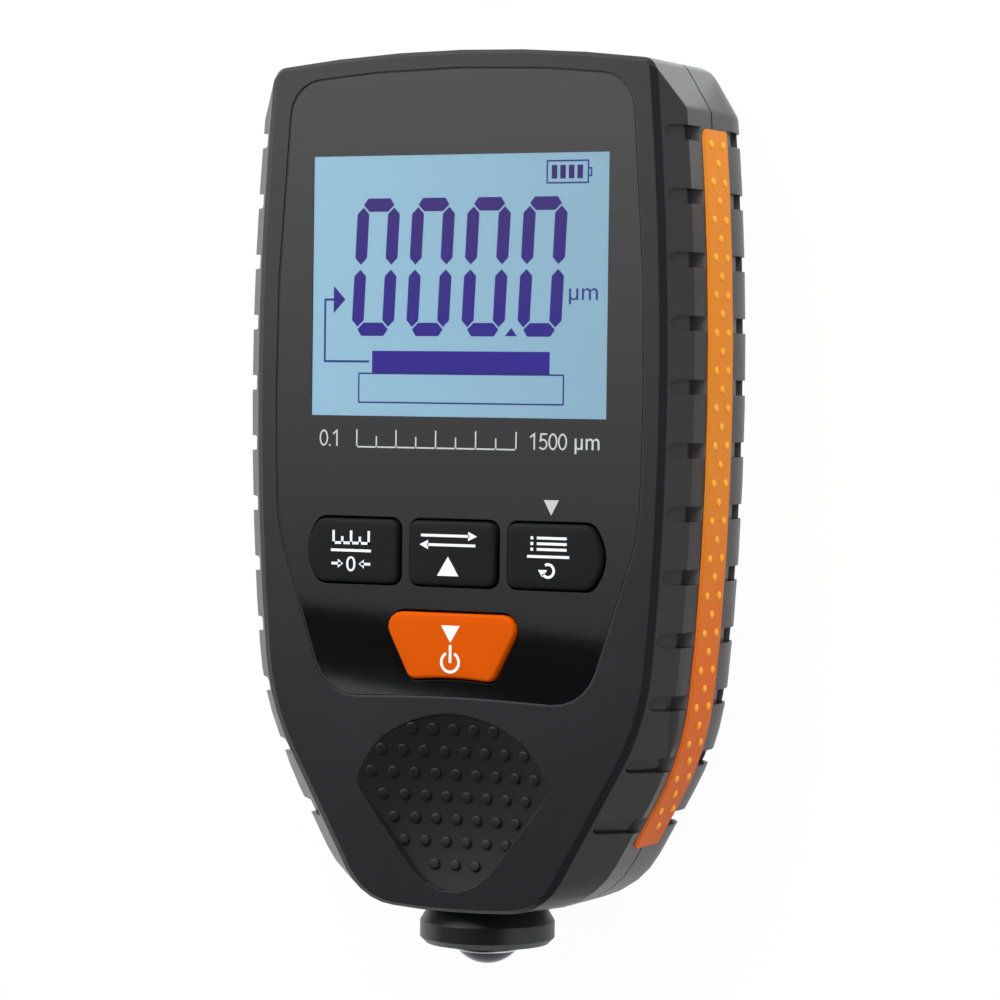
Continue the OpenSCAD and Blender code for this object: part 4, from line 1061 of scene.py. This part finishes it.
MODE_SHIFT = -0.7
LIST_LINES, LIST_FOOT, LIST_PITCH = 3, 0.95, 0.75
LIST_LEFT, LIST_RIGHT = -1.5, 2.5
BULLET_X, BULLET_HALF = -2.4, 0.2
LOOP_DOWN, LOOP_R, LOOP_FROM, LOOP_TO = 1.85, 0.85, -150, 120
LOOP_HEAD = [(-1.45, -1.75), (-0.1, -1.75), (-0.85, -2.7)]


def mode_legend():
    """A list over a rule, and under it a returning arrow."""
    middle, level = key_middle("key_mode")
    x, y = middle.x + MODE_SHIFT, middle.y
    bm = bmesh.new()
    add_stroke(bm, [(x - RULE_HALF, y), (x + RULE_HALF, y)], LEGEND_LINE, level)
    for i in range(LIST_LINES):
        line = y + LIST_FOOT + LIST_PITCH * i
        left, right = x + BULLET_X - BULLET_HALF, x + BULLET_X + BULLET_HALF
        add_rectangle(bm, left, line - BULLET_HALF, right, line + BULLET_HALF, level)
        add_stroke(bm, [(x + LIST_LEFT, line), (x + LIST_RIGHT, line)], LEGEND_LINE, level)
    add_arc(bm, (x, y - LOOP_DOWN), LOOP_R, LOOP_FROM, LOOP_TO, LEGEND_LINE, level)
    add_plate(bm, moved(LOOP_HEAD, x, y), level)
    add_marks("key_mode_legend", bm, "key_mode", "key_rubber", ink_white)


POWER_SHIFT = 0.1
POWER_LINE = 0.4
POWER_DOWN, POWER_R, POWER_FROM, POWER_TO = 2.0, 1.3, 118, 422
POWER_TRIANGLE = [(-1.4, 2.9), (1.4, 2.9), (0, 0.6)]
POWER_BAR = [(0, -1.9), (0, 0.1)]


def power_legend():
    """A triangle over the sign for power."""
    middle, level = key_middle("key_power")
    x, y = middle.x + POWER_SHIFT, middle.y
    bm = bmesh.new()
    add_plate(bm, moved(POWER_TRIANGLE, x, y), level)
    add_arc(bm, (x, y - POWER_DOWN), POWER_R, POWER_FROM, POWER_TO, POWER_LINE, level)
    add_stroke(bm, moved(POWER_BAR, x, y), POWER_LINE, level)
    add_marks("key_power_legend", bm, "key_power", "power_key_rubber", ink_warm)


zero_legend()
units_legend()
mode_legend()
power_legend()


# Studio: a white floor and surround, two soft lamps, and cards that only the gloss surfaces mirror
STAGE_ROUGH = 0.9
WHITE = (1, 1, 1, 1)


def stage_material(name, colour, seen_glow, mirrored_glow):
    """White to the camera and to mirrors, and still dimmed a little by a shadow."""
    material, tree, shader = start_material(name, Roughness=STAGE_ROUGH)
    shader.inputs["Base Color"].default_value = hex_colour(colour)
    ray = add_node(tree, "ShaderNodeLightPath").outputs
    by_mirror = combined(tree, "MAXIMUM", ray["Is Glossy Ray"], ray["Is Transmission Ray"])
    mirrored = combined(tree, "MULTIPLY", by_mirror, mirrored_glow)
    seen = combined(tree, "MULTIPLY", ray["Is Camera Ray"], seen_glow)
    share = combined(tree, "MAXIMUM", seen, mirrored)
    bright = add_node(tree, "ShaderNodeEmission", {"Color": WHITE, "Strength": 1.0})
    mixed = add_node(tree, "ShaderNodeMixShader", {0: share, 1: shader.outputs[0], 2: bright.outputs[0]})
    tree.links.new(mixed.outputs[0], tree.nodes["Material Output"].inputs["Surface"])
    return material


def flat_card(name, width, height, place, material):
    """A flat rectangle that belongs to the studio."""
    bm = bmesh.new()
    bmesh.ops.create_grid(bm, x_segments=1, y_segments=1, size=0.5)
    mesh = mesh_from(bm, name)
    card = bpy.data.objects.new(name, mesh)
    bpy.context.scene.collection.objects.link(card)
    mesh.materials.append(material)
    card.scale = (width * MM, height * MM, 1)
    card.location = Vector(place) * MM
    return card


FLOOR_SIZE = 6000
FLOOR_DROP = 0.05
floor_white = stage_material("studio_floor_white", "f2f2f2", seen_glow=0.97, mirrored_glow=0.6)
flat_card("floor", FLOOR_SIZE, FLOOR_SIZE, (0, 0, -FLOOR_DROP), floor_white)


def mirror_card(name, width, height, place, material, turn=0.0):
    """A card that only mirrors see, turned by so many degrees."""
    card = flat_card(name, width, height, place, material)
    card.rotation_euler.z = math.radians(turn)
    card.visible_camera = False
    card.visible_diffuse = False
    card.visible_shadow = False
    card.visible_transmission = False


CARD_HEIGHT = 500
LOW_CARD_HEIGHT = 0.3
LIGHT_WIDTH, LIGHT_X = 1600, -600
LIGHT_DEPTH = 1400
LIGHT_FOOT = -300
LIGHT_DIM, LIGHT_BRIGHT = 0.7, 2.1
LIGHT_FROM, LIGHT_TO = -45, 105
LIGHT_MIDDLE = LIGHT_FOOT + LIGHT_DEPTH / 2


def light_card_material():
    """A soft box that brightens from its near edge upwards."""
    material, tree, _ = start_material("studio_soft_box", Roughness=STAGE_ROUGH)
    where = add_node(tree, "ShaderNodeTexCoord").outputs["Object"]
    axes = add_node(tree, "ShaderNodeSeparateXYZ", {"Vector": where})
    glow = add_node(tree, "ShaderNodeMapRange", {
        "Value": axes.outputs["Y"],
        "From Min": (LIGHT_FROM - LIGHT_MIDDLE) / LIGHT_DEPTH,
        "From Max": (LIGHT_TO - LIGHT_MIDDLE) / LIGHT_DEPTH,
        "To Min": LIGHT_DIM, "To Max": LIGHT_BRIGHT})
    bright = add_node(tree, "ShaderNodeEmission", {"Color": WHITE, "Strength": glow.outputs["Result"]})
    tree.links.new(bright.outputs[0], tree.nodes["Material Output"].inputs["Surface"])
    return material


def plain_card_material(name, colour, strength=0.0):
    """A card of one colour that glows with some strength."""
    material, _, shader = start_material(
        name, Roughness=STAGE_ROUGH, Emission_Color=WHITE, Emission_Strength=strength)
    shader.inputs["Base Color"].default_value = hex_colour(colour)
    return material


card_black = plain_card_material("studio_card_black", "050505")
card_grey = plain_card_material("studio_card_grey", "a0a0a0")
card_bright = plain_card_material("studio_card_bright", "f2f2f2", strength=0.7)
card_soft = plain_card_material("studio_card_soft", "f2f2f2", strength=0.6)
mirror_card(
    "light_card", LIGHT_WIDTH, LIGHT_DEPTH, (LIGHT_X, LIGHT_MIDDLE, CARD_HEIGHT + 1), light_card_material())
mirror_card("dark_card_near", 2000, 1200, (-280, -645.5, CARD_HEIGHT), card_black, turn=-4)
mirror_card("dark_card_side", 900, 2600, (290, 400, CARD_HEIGHT), card_black)
mirror_card("grey_card_side", 60, 105, (69.5, -8, LOW_CARD_HEIGHT), card_grey)
mirror_card("bright_card_corner", 34, 30, (38, 76, LOW_CARD_HEIGHT), card_bright)
mirror_card("soft_card_low", 80, 20, (-271, -74.9, CARD_HEIGHT - 1), card_soft, turn=-7.1)

WORLD_FILL = 0.55


def add_world():
    """White to the camera, to mirrors and through the window, and a dimmer fill for the rest."""
    world = bpy.data.worlds.new("studio")
    bpy.context.scene.world = world
    world.use_nodes = True
    tree = world.node_tree
    tree.nodes.clear()
    ray = add_node(tree, "ShaderNodeLightPath").outputs
    direct = combined(tree, "MAXIMUM", ray["Is Camera Ray"], ray["Is Glossy Ray"])
    seen = combined(tree, "MAXIMUM", direct, ray["Is Transmission Ray"])
    fill = add_node(tree, "ShaderNodeBackground", {"Color": hex_colour("f4f6fa"), "Strength": WORLD_FILL})
    white = add_node(tree, "ShaderNodeBackground", {"Color": WHITE, "Strength": 1.0})
    mixed = add_node(tree, "ShaderNodeMixShader", {0: seen, 1: fill.outputs[0], 2: white.outputs[0]})
    out = add_node(tree, "ShaderNodeOutputWorld")
    tree.links.new(mixed.outputs[0], out.inputs["Surface"])


def add_lamp(name, place, aim, size, watts):
    data = bpy.data.lights.new(name, "AREA")
    data.shape = "RECTANGLE"
    data.size, data.size_y = size[0] * MM, size[1] * MM
    data.energy = watts
    lamp = bpy.data.objects.new(name, data)
    bpy.context.scene.collection.objects.link(lamp)
    lamp.location = Vector(place) * MM
    lamp.rotation_euler = (Vector(place) - Vector(aim)).to_track_quat("Z", "Y").to_euler()
    return lamp


add_world()
add_lamp("soft_top", place=(-150, 650, 700), aim=(0, 0, 10), size=(700, 500), watts=9.0)
side_lamp = add_lamp("soft_side", place=(400, 500, 190), aim=(20, 0, 12), size=(300, 300), watts=2.0)
# The low lamp would leave a glare on the gloss panel when seen from other sides
side_lamp.visible_glossy = False

bpy.context.scene.view_settings.view_transform = "Standard"
